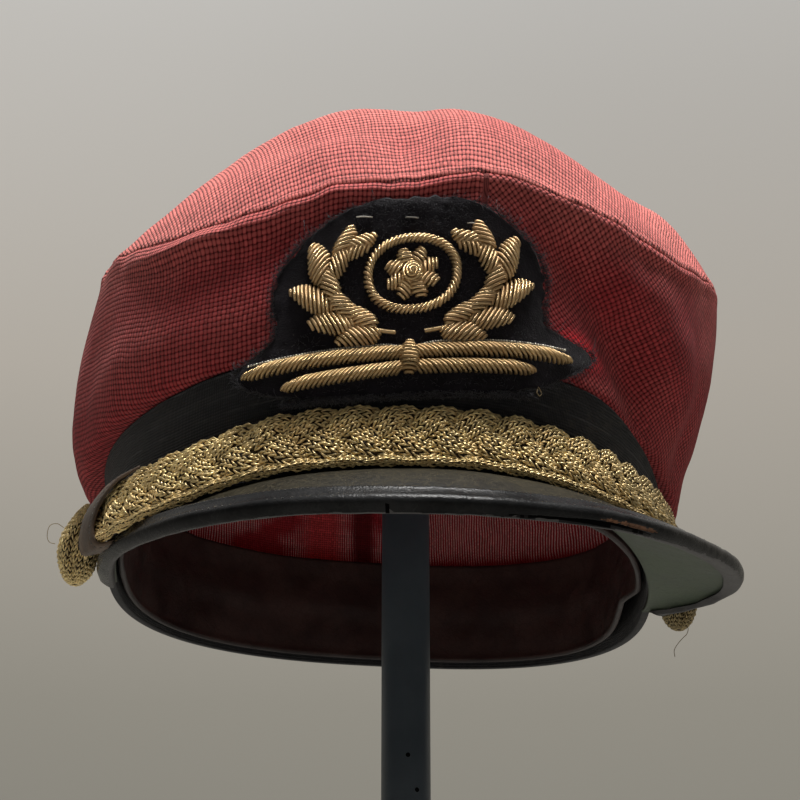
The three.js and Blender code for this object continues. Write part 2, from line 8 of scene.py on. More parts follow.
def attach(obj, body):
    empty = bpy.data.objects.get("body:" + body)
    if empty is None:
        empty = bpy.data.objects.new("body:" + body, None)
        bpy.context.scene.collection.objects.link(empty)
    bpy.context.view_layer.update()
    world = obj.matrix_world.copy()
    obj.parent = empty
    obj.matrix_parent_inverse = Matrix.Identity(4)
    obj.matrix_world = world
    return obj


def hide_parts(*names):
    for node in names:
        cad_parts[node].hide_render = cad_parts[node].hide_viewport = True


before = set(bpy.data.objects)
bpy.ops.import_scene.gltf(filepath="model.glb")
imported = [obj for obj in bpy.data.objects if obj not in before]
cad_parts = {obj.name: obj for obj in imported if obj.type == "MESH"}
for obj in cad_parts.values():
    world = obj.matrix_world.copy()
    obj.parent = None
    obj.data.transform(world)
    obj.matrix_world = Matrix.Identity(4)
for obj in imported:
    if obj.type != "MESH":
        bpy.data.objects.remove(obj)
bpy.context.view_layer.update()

rng = np.random.default_rng(11)
TAU = 2 * math.pi

# ---------------------------------------------------------------- sizes, in millimetres, in the cap's own frame
# (origin in the middle of the rim, +Z up, front towards -Y, degrees from the front towards +X)
CAP_AT, CAP_LEAN = (-6.7, 12.0, 215.0), math.radians(2)
BAND_THICK, BAND_FLARE, BAND_HIGH = 2.2, 4.2, 33.0
CLOTH_THICK = 1.4
APEX = np.array([9.4, -6.0, 150.5])

SIDE_SECTIONS = np.array([
    # deg, low_out, low_z, belly_out, belly_z, upper_out, upper_z, seam_out, seam_z, dome
    [-180, 6, 33, 10, 45, 13, 66, 12.5, 88, 2.3],
    [-135, 8.9, 30, 12.8, 42, 12, 64, 7, 88, 2.4],
    [-90, 10, 27, 15.6, 40, 14, 61, 9.8, 85, 2.5],
    [-60, 7.7, 28.5, 11.6, 40, 10, 59, 7.6, 78, 2.35],
    [-30, 4.6, 32, 6, 42, 6, 60, 5.4, 77, 2.6],
    [-5, 4.6, 38, 4.8, 46, 4.8, 65, 5, 84, 2.3],
    [14, 4.6, 38, 5, 46, 5.6, 66, 6.4, 88, 2.4],
    [34, 4.8, 37, 5.4, 46, 8, 65, 10, 84, 2.45],
    [62, 5.3, 28, 7.7, 40, 15, 64, 17, 88, 2.5],
    [90, 7.6, 27, 8.7, 39, 19.3, 65, 23, 97, 3.4],
    [135, 8, 31, 11.3, 43, 14.1, 65, 13, 93, 2.45],
])
SEAM_SHIFT = np.array([
    # deg, rise of the seam above the sections' own height
    [-180, 4], [-135, 7], [-100, 10], [-85, 9], [-70, 7.2], [-60, 5.7], [-50, 2.4], [-40, -1.5], [-30, -2.4], [-20, -2.6], [-14, -0.8], [-9, 1], [0, -0.5], [5, -0.4],
    [10, 1.5], [15, 2.1], [20, 1.4], [30, -0.2], [45, -0.6], [55, 0.8], [62, 2.4], [70, 4.2], [80, 5], [95, 6], [115, 5], [140, 4],
])
BAND_EDGES = np.array([
    [-180, 0, 30], [-100, 0, 26], [-75, -1.5, 25], [-50, -3.6, 25.5], [-36, -3.2, 27.5], [-25, -0.4, 30.5], [-12, 3.2, 32.5], [2, 5.6, 33],
    [16, 6.4, 33.5], [34, 5.4, 33.5], [48, 3.8, 28.5], [62, 2, 25], [78, 0.4, 25], [100, 0, 26], [140, 0, 29],
])
SIDE_FOLDS = [(-62, 0.45, 16, 0.3, -2.2), (-30, 0.8, 14, 0.2, 1.2), (34, 0.55, 12, 0.35, -2.4), (72, 0.45, 10, 0.3, 1.8), (110, 0.4, 9, 0.35, -2.2), (160, 0.5, 14, 0.3, -1.8), (-150, 0.4, 12, 0.3, 1.6)]
TOP_FOLDS = [(-4, 0.18, 9, 0.16, -2.0), (12, 0.2, 8, 0.16, 1.2), (-48, 0.3, 18, 0.22, -1.6), (55, 0.3, 18, 0.22, -1.4), (180, 0.35, 24, 0.25, -1.8)]
PEAK_EDGE = np.array([
    [-88, -84.6, -6, -4, 0.2], [-75, -83, -33, -7.4, 0.6], [-61, -79, -61, -10.4, 1.2], [-46, -69.6, -87.5, -12.8, 2], [-32, -52.6, -114, -14.8, 2.6],
    [-17, -29.6, -133, -16, 3], [0, -3, -141, -16.2, 3], [16, 21, -141, -15.8, 3], [30, 45.6, -132.8, -14.4, 2.6], [42, 63.4, -116.6, -12, 2],
    [54, 80.2, -91, -7.6, 1.6], [64, 93, -67.8, -4, 1.4], [72, 100.2, -49.6, -1.8, 1.2], [79, 103.2, -33, -1.2, 1], [84, 99.6, -21.5, -2.6, 0.6],
    [88, 93.4, -12, -3.8, 0.3], [91, 87.2, -3.5, -4.4, 0.1],
])
BRAID_SECTION = np.array([(2.7, 7.4), (5.6, 6.0), (9.2, 4.9), (10.1, 8.5), (9.4, 14), (7.6, 19.4), (5.2, 21.4), (2.7, 20.2)])
BRAID_RISE = np.array([
    [-75, -12.5, 0.5], [-62, -13.4, 0.6], [-52, -13.4, 0.9], [-40, -12, 1], [-29, -9.2, 1], [-20, -5, 1], [-11, -2, 1], [2, 0, 1], [16, 0.8, 1],
    [30, -0.6, 1], [45, -2, 0.95], [60, -2.2, 0.85], [70, -3.5, 0.6], [80, -5, 0.5], [90, -6, 0.5],
])
PATCH_ROWS = np.array([
    # height, reach to the left, reach to the right, stand-off at the foot
    [22.4, 24, 24, 2.6], [23.6, 33, 33, 2.4], [27, 42, 41, 2.0], [31, 47, 47.5, 1.6], [34, 46.8, 52, 1.3], [36.4, 44, 53.8, 1.0], [38.6, 41, 53.0, 0.8], [40.8, 38.5, 46.0, 0.6],
    [43.4, 37.3, 39, 0.4], [48, 38, 38, 0.2], [55, 38.3, 38.3, 0], [61, 36.5, 36.5, 0], [67, 32.5, 32.5, 0], [73, 26, 26, 0], [77.5, 18.5, 18.5, 0], [80, 9, 9, 0],
])


# ---------------------------------------------------------------- curves and surfaces
def slopes_of(k, v):
    s = np.empty_like(v)
    s[1:-1] = (v[2:] - v[:-2]) / (k[2:] - k[:-2])
    s[0] = (v[1] - v[0]) / (k[1] - k[0])
    s[-1] = (v[-1] - v[-2]) / (k[-1] - k[-2])
    return s


def blend_of(t, w, v0, v1, s0, s1):
    t2, t3 = t * t, t * t * t
    return (2 * t3 - 3 * t2 + 1) * v0 + (t3 - 2 * t2 + t) * w * s0 + (3 * t2 - 2 * t3) * v1 + (t3 - t2) * w * s1


def column(keys, vals, at, closed=False):
    """Smooth curve through (keys, vals) at each of at."""
    k, v, at = np.asarray(keys, float), np.asarray(vals, float), np.asarray(at, float)
    if closed:
        k = np.concatenate([k[-3:] - 360, k, k[:3] + 360])
        v = np.concatenate([v[-3:], v, v[:3]])
        at = (at - k[3]) % 360 + k[3]
    else:
        at = np.clip(at, k[0], k[-1])
    s = slopes_of(k, v)
    i = np.clip(np.searchsorted(k, at, side="right") - 1, 0, len(k) - 2)
    w = k[i + 1] - k[i]
    return blend_of((at - k[i]) / w, w, v[i], v[i + 1], s[i], s[i + 1])


def column_rows(k, rows, at):
    """The same for values that differ at each point: rows is (number of keys, number of points)."""
    k, v = np.asarray(k, float), np.asarray(rows, float)
    s = np.empty_like(v)
    s[1:-1] = (v[2:] - v[:-2]) / (k[2:] - k[:-2])[:, None]
    s[0] = (v[1] - v[0]) / (k[1] - k[0])
    s[-1] = (v[-1] - v[-2]) / (k[-1] - k[-2])
    at = np.clip(at, k[0], k[-1])
    i = np.clip(np.searchsorted(k, at, side="right") - 1, 0, len(k) - 2)
    n = np.arange(len(at))
    w = k[i + 1] - k[i]
    return blend_of((at - k[i]) / w, w, v[i, n], v[i + 1, n], s[i, n], s[i + 1, n])


def mix(a, b, t):
    return a + (b - a) * t


def unit(v):
    return v / np.maximum(np.linalg.norm(v, axis=-1, keepdims=True), 1e-9)


def hash3(i, seed):
    n = i[..., 0] * 127.1 + i[..., 1] * 311.7 + i[..., 2] * 74.7 + seed * 53.3
    return np.modf(np.abs(np.sin(n) * 43758.5453))[0]


def vnoise(p, scale, seed=0):
    """Smooth value noise from -1 to 1 with features of about the given size."""
    q = np.asarray(p, float) / scale
    i = np.floor(q)
    f = q - i
    f = f * f * (3 - 2 * f)
    total = 0
    for dx in (0, 1):
        for dy in (0, 1):
            for dz in (0, 1):
                w = (f[..., 0] if dx else 1 - f[..., 0]) * (f[..., 1] if dy else 1 - f[..., 1]) * (f[..., 2] if dz else 1 - f[..., 2])
                total = total + w * hash3(i + np.array([dx, dy, dz]), seed)
    return total * 2 - 1


def oval(deg):
    a = np.radians(deg)
    c, s = np.cos(a), np.sin(a)
    r = (np.abs(c / 103) ** 2.6 + np.abs(s / 84) ** 2.6) ** (-1 / 2.6)
    y = -r * c
    return r * s * (1 + 0.09 * y / 103) + 5.8 * y / 103, y


def around(deg, out, z):
    deg, out, z = np.broadcast_arrays(np.asarray(deg, float), np.asarray(out, float), np.asarray(z, float))
    x, y = oval(deg)
    ax, ay = oval(deg + 0.5)
    bx, by = oval(deg - 0.5)
    tx, ty = ax - bx, ay - by
    l = np.hypot(tx, ty)
    return np.stack([x + out * ty / l, y - out * tx / l, z], -1)


def turn(a, b):
    return (a - b + 180) % 360 - 180


def folds(rows, deg, up):
    total = 0
    for d, u, wide, tall, out in rows:
        total = total + out * np.exp(-((turn(deg, d) / wide) ** 2)) * np.exp(-(((up - u) / tall) ** 2))
    return total


def band_out(z):
    return BAND_FLARE * (np.maximum(z, 0) / BAND_HIGH) ** 2


def band_foot(deg):
    return column(BAND_EDGES[:, 0], BAND_EDGES[:, 1], deg, True)


def band_top(deg):
    return column(BAND_EDGES[:, 0], BAND_EDGES[:, 2], deg, True)


def side_profile(deg, up):
    deg, up = np.broadcast_arrays(np.asarray(deg, float), np.asarray(up, float))
    shape, d, u = deg.shape, deg.ravel(), up.ravel()
    get = lambda i: column(SIDE_SECTIONS[:, 0], SIDE_SECTIONS[:, i], d, True)
    top = band_top(d)
    knots = [0, 0.16, 0.38, 0.69, 1]
    out = column_rows(knots, [band_out(top) - 0.6, get(1), get(3), get(5), get(7)], u)
    z = column_rows(knots, [top + 0.9, get(2), get(4), get(6), get(8)], u)
    out = out + folds(SIDE_FOLDS, d, u) * np.sin(math.pi * np.minimum(1, u * 1.02))
    z = z + column(SEAM_SHIFT[:, 0], SEAM_SHIFT[:, 1], d, True) * np.clip(u, 0, 1) ** 2.5
    return out.reshape(shape), z.reshape(shape)


def side_point(deg, up):
    out, z = side_profile(deg, up)
    return around(deg, out, z)


def top_point(deg, up):
    deg, up = np.broadcast_arrays(np.asarray(deg, float), np.asarray(up, float))
    edge = side_point(deg, np.ones_like(up))
    power = column(SIDE_SECTIONS[:, 0], SIDE_SECTIONS[:, 9], deg, True)
    p = mix(edge, APEX, up[..., None])
    p[..., 2] = mix(edge[..., 2], APEX[2], 1 - (1 - up) ** power) + folds(TOP_FOLDS, deg, up) * np.sin(math.pi * np.clip(up, 0, 1)) ** 0.7
    return p


def peak_point(along, out):
    along, out = np.broadcast_arrays(np.asarray(along, float), np.asarray(out, float))
    rows = np.arange(len(PEAK_EDGE))
    get = lambda i: column(rows, PEAK_EDGE[:, i], along)
    deg = get(0)
    root = around(deg, -1.4, band_foot(deg) - 0.4)
    edge = np.stack([get(1), get(2), get(3)], -1)
    p = mix(root, edge, out[..., None])
    rise = get(4) * 4 * out * (1 - out)
    n = (edge - root)[..., :2]
    n = n / np.maximum(np.hypot(n[..., 0], n[..., 1]), 1e-6)[..., None]
    p[..., 0] += 0.55 * rise * n[..., 0]
    p[..., 1] += 0.55 * rise * n[..., 1]
    p[..., 2] += 0.83 * rise
    return p


def grid_normals(p, ring):
    """Normals of a grid of points [i][j], for i along the ring and j across it."""
    if ring:
        a = np.roll(p, -1, 0) - np.roll(p, 1, 0)
    else:
        a = np.gradient(p, axis=0)
    b = np.gradient(p, axis=1)
    return unit(np.cross(a, b))


# ---------------------------------------------------------------- meshes
class Part:
    """Gathers the points, faces, map and tones of one mesh, in the cap's frame, in millimetres."""

    def __init__(self):
        self.v, self.f, self.uv, self.m, self.tone, self.n = [], [], [], [], [], 0

    def add(self, verts, faces, uv=None, mat=0, tone=0.5):
        verts = np.asarray(verts, float).reshape(-1, 3)
        faces = np.asarray(faces, int)
        if len(faces) == 0:
            return
        if uv is None:
            uv = np.zeros((len(verts), 2))
        uv = np.asarray(uv, float)
        if uv.ndim == 2:
            uv = uv[faces]
        self.v.append(verts)
        self.f.append(faces + self.n)
        self.uv.append(uv.reshape(-1, 2))
        self.m.append(np.full(len(faces), mat, int))
        self.tone.append(np.broadcast_to(np.asarray(tone, float), (len(verts),)))
        self.n += len(verts)

    def make(self, name, mats, nodes=(), space="cap"):
        v = np.concatenate(self.v)
        if space == "cap":
            c, s = math.cos(CAP_LEAN), math.sin(CAP_LEAN)
            v = np.stack([v[:, 0] * c + v[:, 2] * s, v[:, 1], -v[:, 0] * s + v[:, 2] * c], -1) + np.array(CAP_AT)
        me = bpy.data.meshes.new(name)
        me.from_pydata((v / 1000).tolist(), [], [f for part in self.f for f in part.tolist()])
        layer = me.uv_layers.new(name="mm")
        layer.uv.foreach_set("vector", np.concatenate(self.uv).astype(np.float32).ravel())
        me.polygons.foreach_set("material_index", np.concatenate(self.m).astype(np.int32))
        me.polygons.foreach_set("use_smooth", np.ones(len(me.polygons), bool))
        tone = me.attributes.new("tone", "FLOAT", "POINT")
        tone.data.foreach_set("value", np.concatenate(self.tone).astype(np.float32))
        for m in mats if isinstance(mats, (list, tuple)) else [mats]:
            me.materials.append(m)
        me.update()
        ob = bpy.data.objects.new(name, me)
        bpy.context.scene.collection.objects.link(ob)
        if nodes:
            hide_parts(*nodes)
        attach(ob, "root")
        return ob


def wall(part, outer, inner, ring, uv, tip=None, mats=(0, 0), tone=None):
    """A closed wall between two grids [i][j]. uv is [i or i + 1][j] for a ring. tip closes the last j on one point of each face."""
    ni, nj = outer.shape[:2]
    no = ni * nj
    i = np.arange(ni if ring else ni - 1)
    j = np.arange(nj - 1)
    I, J = np.meshgrid(i, j, indexing="ij")
    I, J = I.ravel(), J.ravel()
    K = (I + 1) % ni
    o = lambda a, b: a * nj + b
    q = np.stack([o(I, J), o(K, J), o(K, J + 1), o(I, J + 1)], -1)
    quv = np.stack([uv[I, J], uv[I + 1, J], uv[I + 1, J + 1], uv[I, J + 1]], 1)
    verts = [outer.reshape(-1, 3), inner.reshape(-1, 3)]
    tones = np.full((ni, nj), 0.5) if tone is None else tone
    tones = np.concatenate([tones.ravel(), tones.ravel()])
    # which way is out
    faces_n = np.cross(outer[K, J] - outer[I, J], outer[I, np.minimum(J + 1, nj - 1)] - outer[I, J])
    gap = (outer - inner)[I, J]
    if (faces_n * gap).sum() < 0:
        q, quv = q[:, ::-1], quv[:, ::-1]
    blocks = [(q, quv, mats[0]), (q[:, ::-1] + no, quv[:, ::-1], mats[1])]

    def strip(a, b, ua, ub, ref):
        """A strip of faces between two rows of points; ref is a point inside the wall for its way round."""
        f = np.stack([a[0], a[1], b[1], b[0]], -1)
        u = np.stack([ua[0], ua[1], ub[1], ub[0]], 1)
        pts = np.concatenate(verts)
        n = np.cross(pts[f[:, 1]] - pts[f[:, 0]], pts[f[:, 3]] - pts[f[:, 0]])
        if (n * (pts[f[:, 0]] - ref)).sum() < 0:
            f, u = f[:, ::-1], u[:, ::-1]
        blocks.append((f, u, mats[0]))

    e, k = i, (i + 1) % ni
    strip((o(e, 0), o(k, 0)), (o(e, 0) + no, o(k, 0) + no), (uv[e, 0], uv[e + 1, 0]), (uv[e, 0], uv[e + 1, 0]), outer[e, 1])
    if tip is None:
        strip((o(e, nj - 1), o(k, nj - 1)), (o(e, nj - 1) + no, o(k, nj - 1) + no), (uv[e, nj - 1], uv[e + 1, nj - 1]), (uv[e, nj - 1], uv[e + 1, nj - 1]), outer[e, nj - 2])
    if not ring:
        for a, b in ((0, 1), (ni - 1, ni - 2)):
            strip((o(a, j), o(a, j + 1)), (o(a, j) + no, o(a, j + 1) + no), (uv[a, j], uv[a, j + 1]), (uv[a, j], uv[a, j + 1]), outer[b, j])
    pts = np.concatenate(verts)
    base = part.n
    allv, extra = pts, []
    for f, u, m in blocks:
        pass
    if tip is not None:
        allv = np.concatenate([pts, np.asarray(tip[0]).reshape(1, 3), np.asarray(tip[1]).reshape(1, 3)])
        tones = np.concatenate([tones, [tones[-1], tones[-1]]])
        a, b = 2 * no, 2 * no + 1
        fa = np.stack([o(e, nj - 1), o(k, nj - 1), np.full(len(e), a)], -1)
        mid = (uv[e, nj - 1] + uv[e + 1, nj - 1]) / 2
        ua = np.stack([uv[e, nj - 1], uv[e + 1, nj - 1], tip[2] + 0 * mid], 1)
        fb = np.stack([o(e, nj - 1) + no, o(k, nj - 1) + no, np.full(len(e), b)], -1)
        flip = (q[0] != o(I, J)[0]).any() and q[0][0] != o(I[0], J[0])
        if flip:
            fa, ua = fa[:, ::-1], ua[:, ::-1]
            fb2, ub = fb, np.stack([uv[e, nj - 1], uv[e + 1, nj - 1], tip[2] + 0 * mid], 1)
        else:
            fb2, ub = fb[:, ::-1], np.stack([uv[e, nj - 1], uv[e + 1, nj - 1], tip[2] + 0 * mid], 1)[:, ::-1]
        extra = [(fa, ua, mats[0]), (fb2, ub, mats[1])]
    # all in one block of points
    first = True
    for f, u, m in blocks + extra:
        if first:
            part.add(allv, f, u, m, tones)
            first = False
        else:
            part.f.append(f + base)
            part.uv.append(u.reshape(-1, 2))
            part.m.append(np.full(len(f), m, int))


def tubes(part, paths, radius, normals=None, segs=6, flat=1.0, mat=0, tone=None, taper=None):
    """Round tubes along paths (m, n, 3), closed at both ends. flat squashes them along the normal."""
    paths = np.asarray(paths, float)
    if paths.ndim == 2:
        paths = paths[None]
    m, n = paths.shape[:2]
    if m == 0:
        return
    r = np.broadcast_to(np.asarray(radius, float), (m, n)) if np.ndim(radius) != 1 or len(np.atleast_1d(radius)) == n else np.broadcast_to(np.asarray(radius, float)[:, None], (m, n))
    if taper is not None:
        r = r * np.asarray(taper)[None, :]
    t = unit(np.gradient(paths, axis=1))
    if normals is None:
        normals = np.broadcast_to(np.array([0.13, 0.31, 0.94]), paths.shape)
    normals = np.broadcast_to(normals if np.ndim(normals) == 3 else np.asarray(normals)[:, None, :], paths.shape)
    b = unit(np.cross(t, normals))
    nn = np.cross(b, t)
    a = np.arange(segs) * TAU / segs
    ring = paths[:, :, None, :] + r[:, :, None, None] * (flat * np.cos(a)[None, None, :, None] * nn[:, :, None, :] + np.sin(a)[None, None, :, None] * b[:, :, None, :])
    verts = np.concatenate([ring.reshape(m, n * segs, 3), paths[:, :1] - 0.35 * r[:, :1, None] * t[:, :1], paths[:, -1:] + 0.35 * r[:, -1:, None] * t[:, -1:]], 1)
    per = n * segs + 2
    I, J = np.meshgrid(np.arange(n - 1), np.arange(segs), indexing="ij")
    I, J = I.ravel(), J.ravel()
    K = (J + 1) % segs
    q = np.stack([I * segs + J, I * segs + K, (I + 1) * segs + K, (I + 1) * segs + J], -1)
    length = np.concatenate([np.zeros((m, 1)), np.cumsum(np.linalg.norm(np.diff(paths, axis=1), axis=-1), 1)], 1)
    qu = np.stack([J / segs, (J + 1) / segs, (J + 1) / segs, J / segs], -1)
    off = (np.arange(m) * per)[:, None, None]
    quads = (q[None] + off).reshape(-1, 4)
    lv = np.stack([length[:, I], length[:, I], length[:, I + 1], length[:, I + 1]], -1)
    uv = np.stack([np.broadcast_to(qu[None], lv.shape), lv], -1).reshape(-1, 4, 2)
    c = np.arange(segs)
    tri = np.concatenate([np.stack([np.full(segs, n * segs), (c + 1) % segs, c], -1), np.stack([np.full(segs, n * segs + 1), (n - 1) * segs + c, (n - 1) * segs + (c + 1) % segs], -1)])
    tris = (tri[None] + off).reshape(-1, 3)
    tv = np.repeat(rng.random(m) if tone is None else np.broadcast_to(tone, (m,)), per)
    base = part.n
    part.add(verts.reshape(-1, 3), quads, uv, mat, tv)
    part.f.append(tris + base)
    part.uv.append(np.zeros((len(tris) * 3, 2)))
    part.m.append(np.full(len(tris), mat, int))


def lathe(part, profile, segs, mat=0, ring_uv=1.0):
    """A body of revolution about +Z: profile is rows of (r, z) from the axis round to the axis."""
    pr = np.asarray(profile, float)
    mid = pr[1:-1]
    a = np.arange(segs) * TAU / segs
    ring = np.stack([mid[:, None, 0] * np.cos(a), mid[:, None, 0] * np.sin(a), np.broadcast_to(mid[:, None, 1], (len(mid), segs))], -1)
    verts = np.concatenate([ring.reshape(-1, 3), [[0, 0, pr[0, 1]], [0, 0, pr[-1, 1]]]])
    n = len(mid)
    I, J = np.meshgrid(np.arange(n - 1), np.arange(segs), indexing="ij")
    I, J = I.ravel(), J.ravel()
    K = (J + 1) % segs
    q = np.stack([I * segs + J, I * segs + K, (I + 1) * segs + K, (I + 1) * segs + J], -1)
    c = np.arange(segs)
    lo, hi = n * segs, n * segs + 1
    t = np.concatenate([np.stack([np.full(segs, lo), (c + 1) % segs, c], -1), np.stack([np.full(segs, hi), (n - 1) * segs + c, (n - 1) * segs + (c + 1) % segs], -1)])
    base = part.n
    arc = np.concatenate([[0], np.cumsum(np.hypot(*np.diff(mid, axis=0).T))])
    uv = np.stack([np.stack([J, J + 1, J + 1, J], -1) / segs * ring_uv, np.stack([arc[I], arc[I], arc[I + 1], arc[I + 1]], -1)], -1)
    part.add(verts, q, uv, mat)
    part.f.append(t + base)
    part.uv.append(np.zeros((len(t) * 3, 2)))
    part.m.append(np.full(len(t), mat, int))


def arc_along(p, axis):
    d = np.linalg.norm(np.diff(p, axis=axis), axis=-1)
    pad = [(0, 0)] * d.ndim
    pad[axis] = (1, 0)
    return np.cumsum(np.pad(d, pad), axis=axis)


# ---------------------------------------------------------------- materials
class Look:
    """A material with short names for the nodes it is made of."""

    def __init__(self, name, **sockets):
        self.m = bpy.data.materials.new(name)
        self.m.use_nodes = True
        self.nt = self.m.node_tree
        self.p = self.nt.nodes["Principled BSDF"]
        for k, v in sockets.items():
            self.p.inputs[k.replace("_", " ")].default_value = v

    def node(self, kind, **settings):
        n = self.nt.nodes.new(kind)
        for k, v in settings.items():
            setattr(n, k, v)
        return n

    def put(self, socket, value):
        if isinstance(value, bpy.types.NodeSocket):
            self.nt.links.new(value, socket)
        else:
            socket.default_value = value

    def set(self, **links):
        for k, v in links.items():
            self.put(self.p.inputs[k.replace("_", " ")], v)

    def math(self, op, a, b=None, c=None, clamp=False):
        n = self.node("ShaderNodeMath", operation=op, use_clamp=clamp)
        for i, x in enumerate((a, b, c)):
            if x is not None:
                self.put(n.inputs[i], x)
        return n.outputs[0]

    def vmath(self, op, a, b=None, scale=None):
        n = self.node("ShaderNodeVectorMath", operation=op)
        self.put(n.inputs[0], a)
        if b is not None:
            self.put(n.inputs[1], b)
        if scale is not None:
            self.put(n.inputs["Scale"], scale)
        return n.outputs[0]

    def uv(self):
        return self.node("ShaderNodeUVMap", uv_map="mm").outputs["UV"]

    def place(self):
        """The point in the part's frame, in millimetres."""
        return self.vmath("SCALE", self.node("ShaderNodeTexCoord").outputs["Object"], scale=1000.0)

    def tone(self):
        return self.node("ShaderNodeAttribute", attribute_name="tone").outputs["Fac"]

    def split(self, v):
        return self.node_out("ShaderNodeSeparateXYZ", v)

    def node_out(self, kind, v):
        n = self.node(kind)
        self.put(n.inputs[0], v)
        return n.outputs

    def join(self, x, y, z=0.0):
        n = self.node("ShaderNodeCombineXYZ")
        for i, q in enumerate((x, y, z)):
            self.put(n.inputs[i], q)
        return n.outputs[0]

    def noise(self, vec, size, detail=3.0, rough=0.55, out="Fac"):
        n = self.node("ShaderNodeTexNoise")
        self.put(n.inputs["Vector"], vec)
        n.inputs["Scale"].default_value = 1.0 / size
        n.inputs["Detail"].default_value = detail
        n.inputs["Roughness"].default_value = rough
        return n.outputs[out]

    def cells(self, vec, size, feature="DISTANCE_TO_EDGE", out="Distance", random=1.0):
        n = self.node("ShaderNodeTexVoronoi", feature=feature)
        self.put(n.inputs["Vector"], vec)
        n.inputs["Scale"].default_value = 1.0 / size
        n.inputs["Randomness"].default_value = random
        return n.outputs[out]

    def white(self, value, dims="1D"):
        n = self.node("ShaderNodeTexWhiteNoise", noise_dimensions=dims)
        self.put(n.inputs["W" if dims == "1D" else "Vector"], value)
        return n.outputs["Value"]

    def ramp(self, fac, *stops, ease="LINEAR"):
        n = self.node("ShaderNodeValToRGB")
        n.color_ramp.interpolation = ease
        while len(n.color_ramp.elements) < len(stops):
            n.color_ramp.elements.new(0.5)
        for e, (at, colour) in zip(n.color_ramp.elements, stops):
            e.position = at
            e.color = (colour, colour, colour, 1) if np.isscalar(colour) else (*colour, 1)
        self.put(n.inputs[0], fac)
        return n.outputs[0]

    def range(self, value, a, b, c=0.0, d=1.0):
        n = self.node("ShaderNodeMapRange", clamp=True, interpolation_type="SMOOTHSTEP")
        for k, x in zip(("Value", "From Min", "From Max", "To Min", "To Max"), (value, a, b, c, d)):
            self.put(n.inputs[k], x)
        return n.outputs[0]

    def blend(self, fac, a, b, how="MIX"):
        n = self.node("ShaderNodeMix", data_type="RGBA", blend_type=how)
        self.put(n.inputs[0], fac)
        for s, x in ((n.inputs[6], a), (n.inputs[7], b)):
            self.put(s, x if isinstance(x, bpy.types.NodeSocket) else (*x, 1))
        return n.outputs[2]

    def bump(self, height, strength, depth, under=None):
        n = self.node("ShaderNodeBump")
        n.inputs["Strength"].default_value = strength
        n.inputs["Distance"].default_value = depth / 1000
        self.put(n.inputs["Height"], height)
        if under is not None:
            self.put(n.inputs["Normal"], under)
        return n.outputs[0]


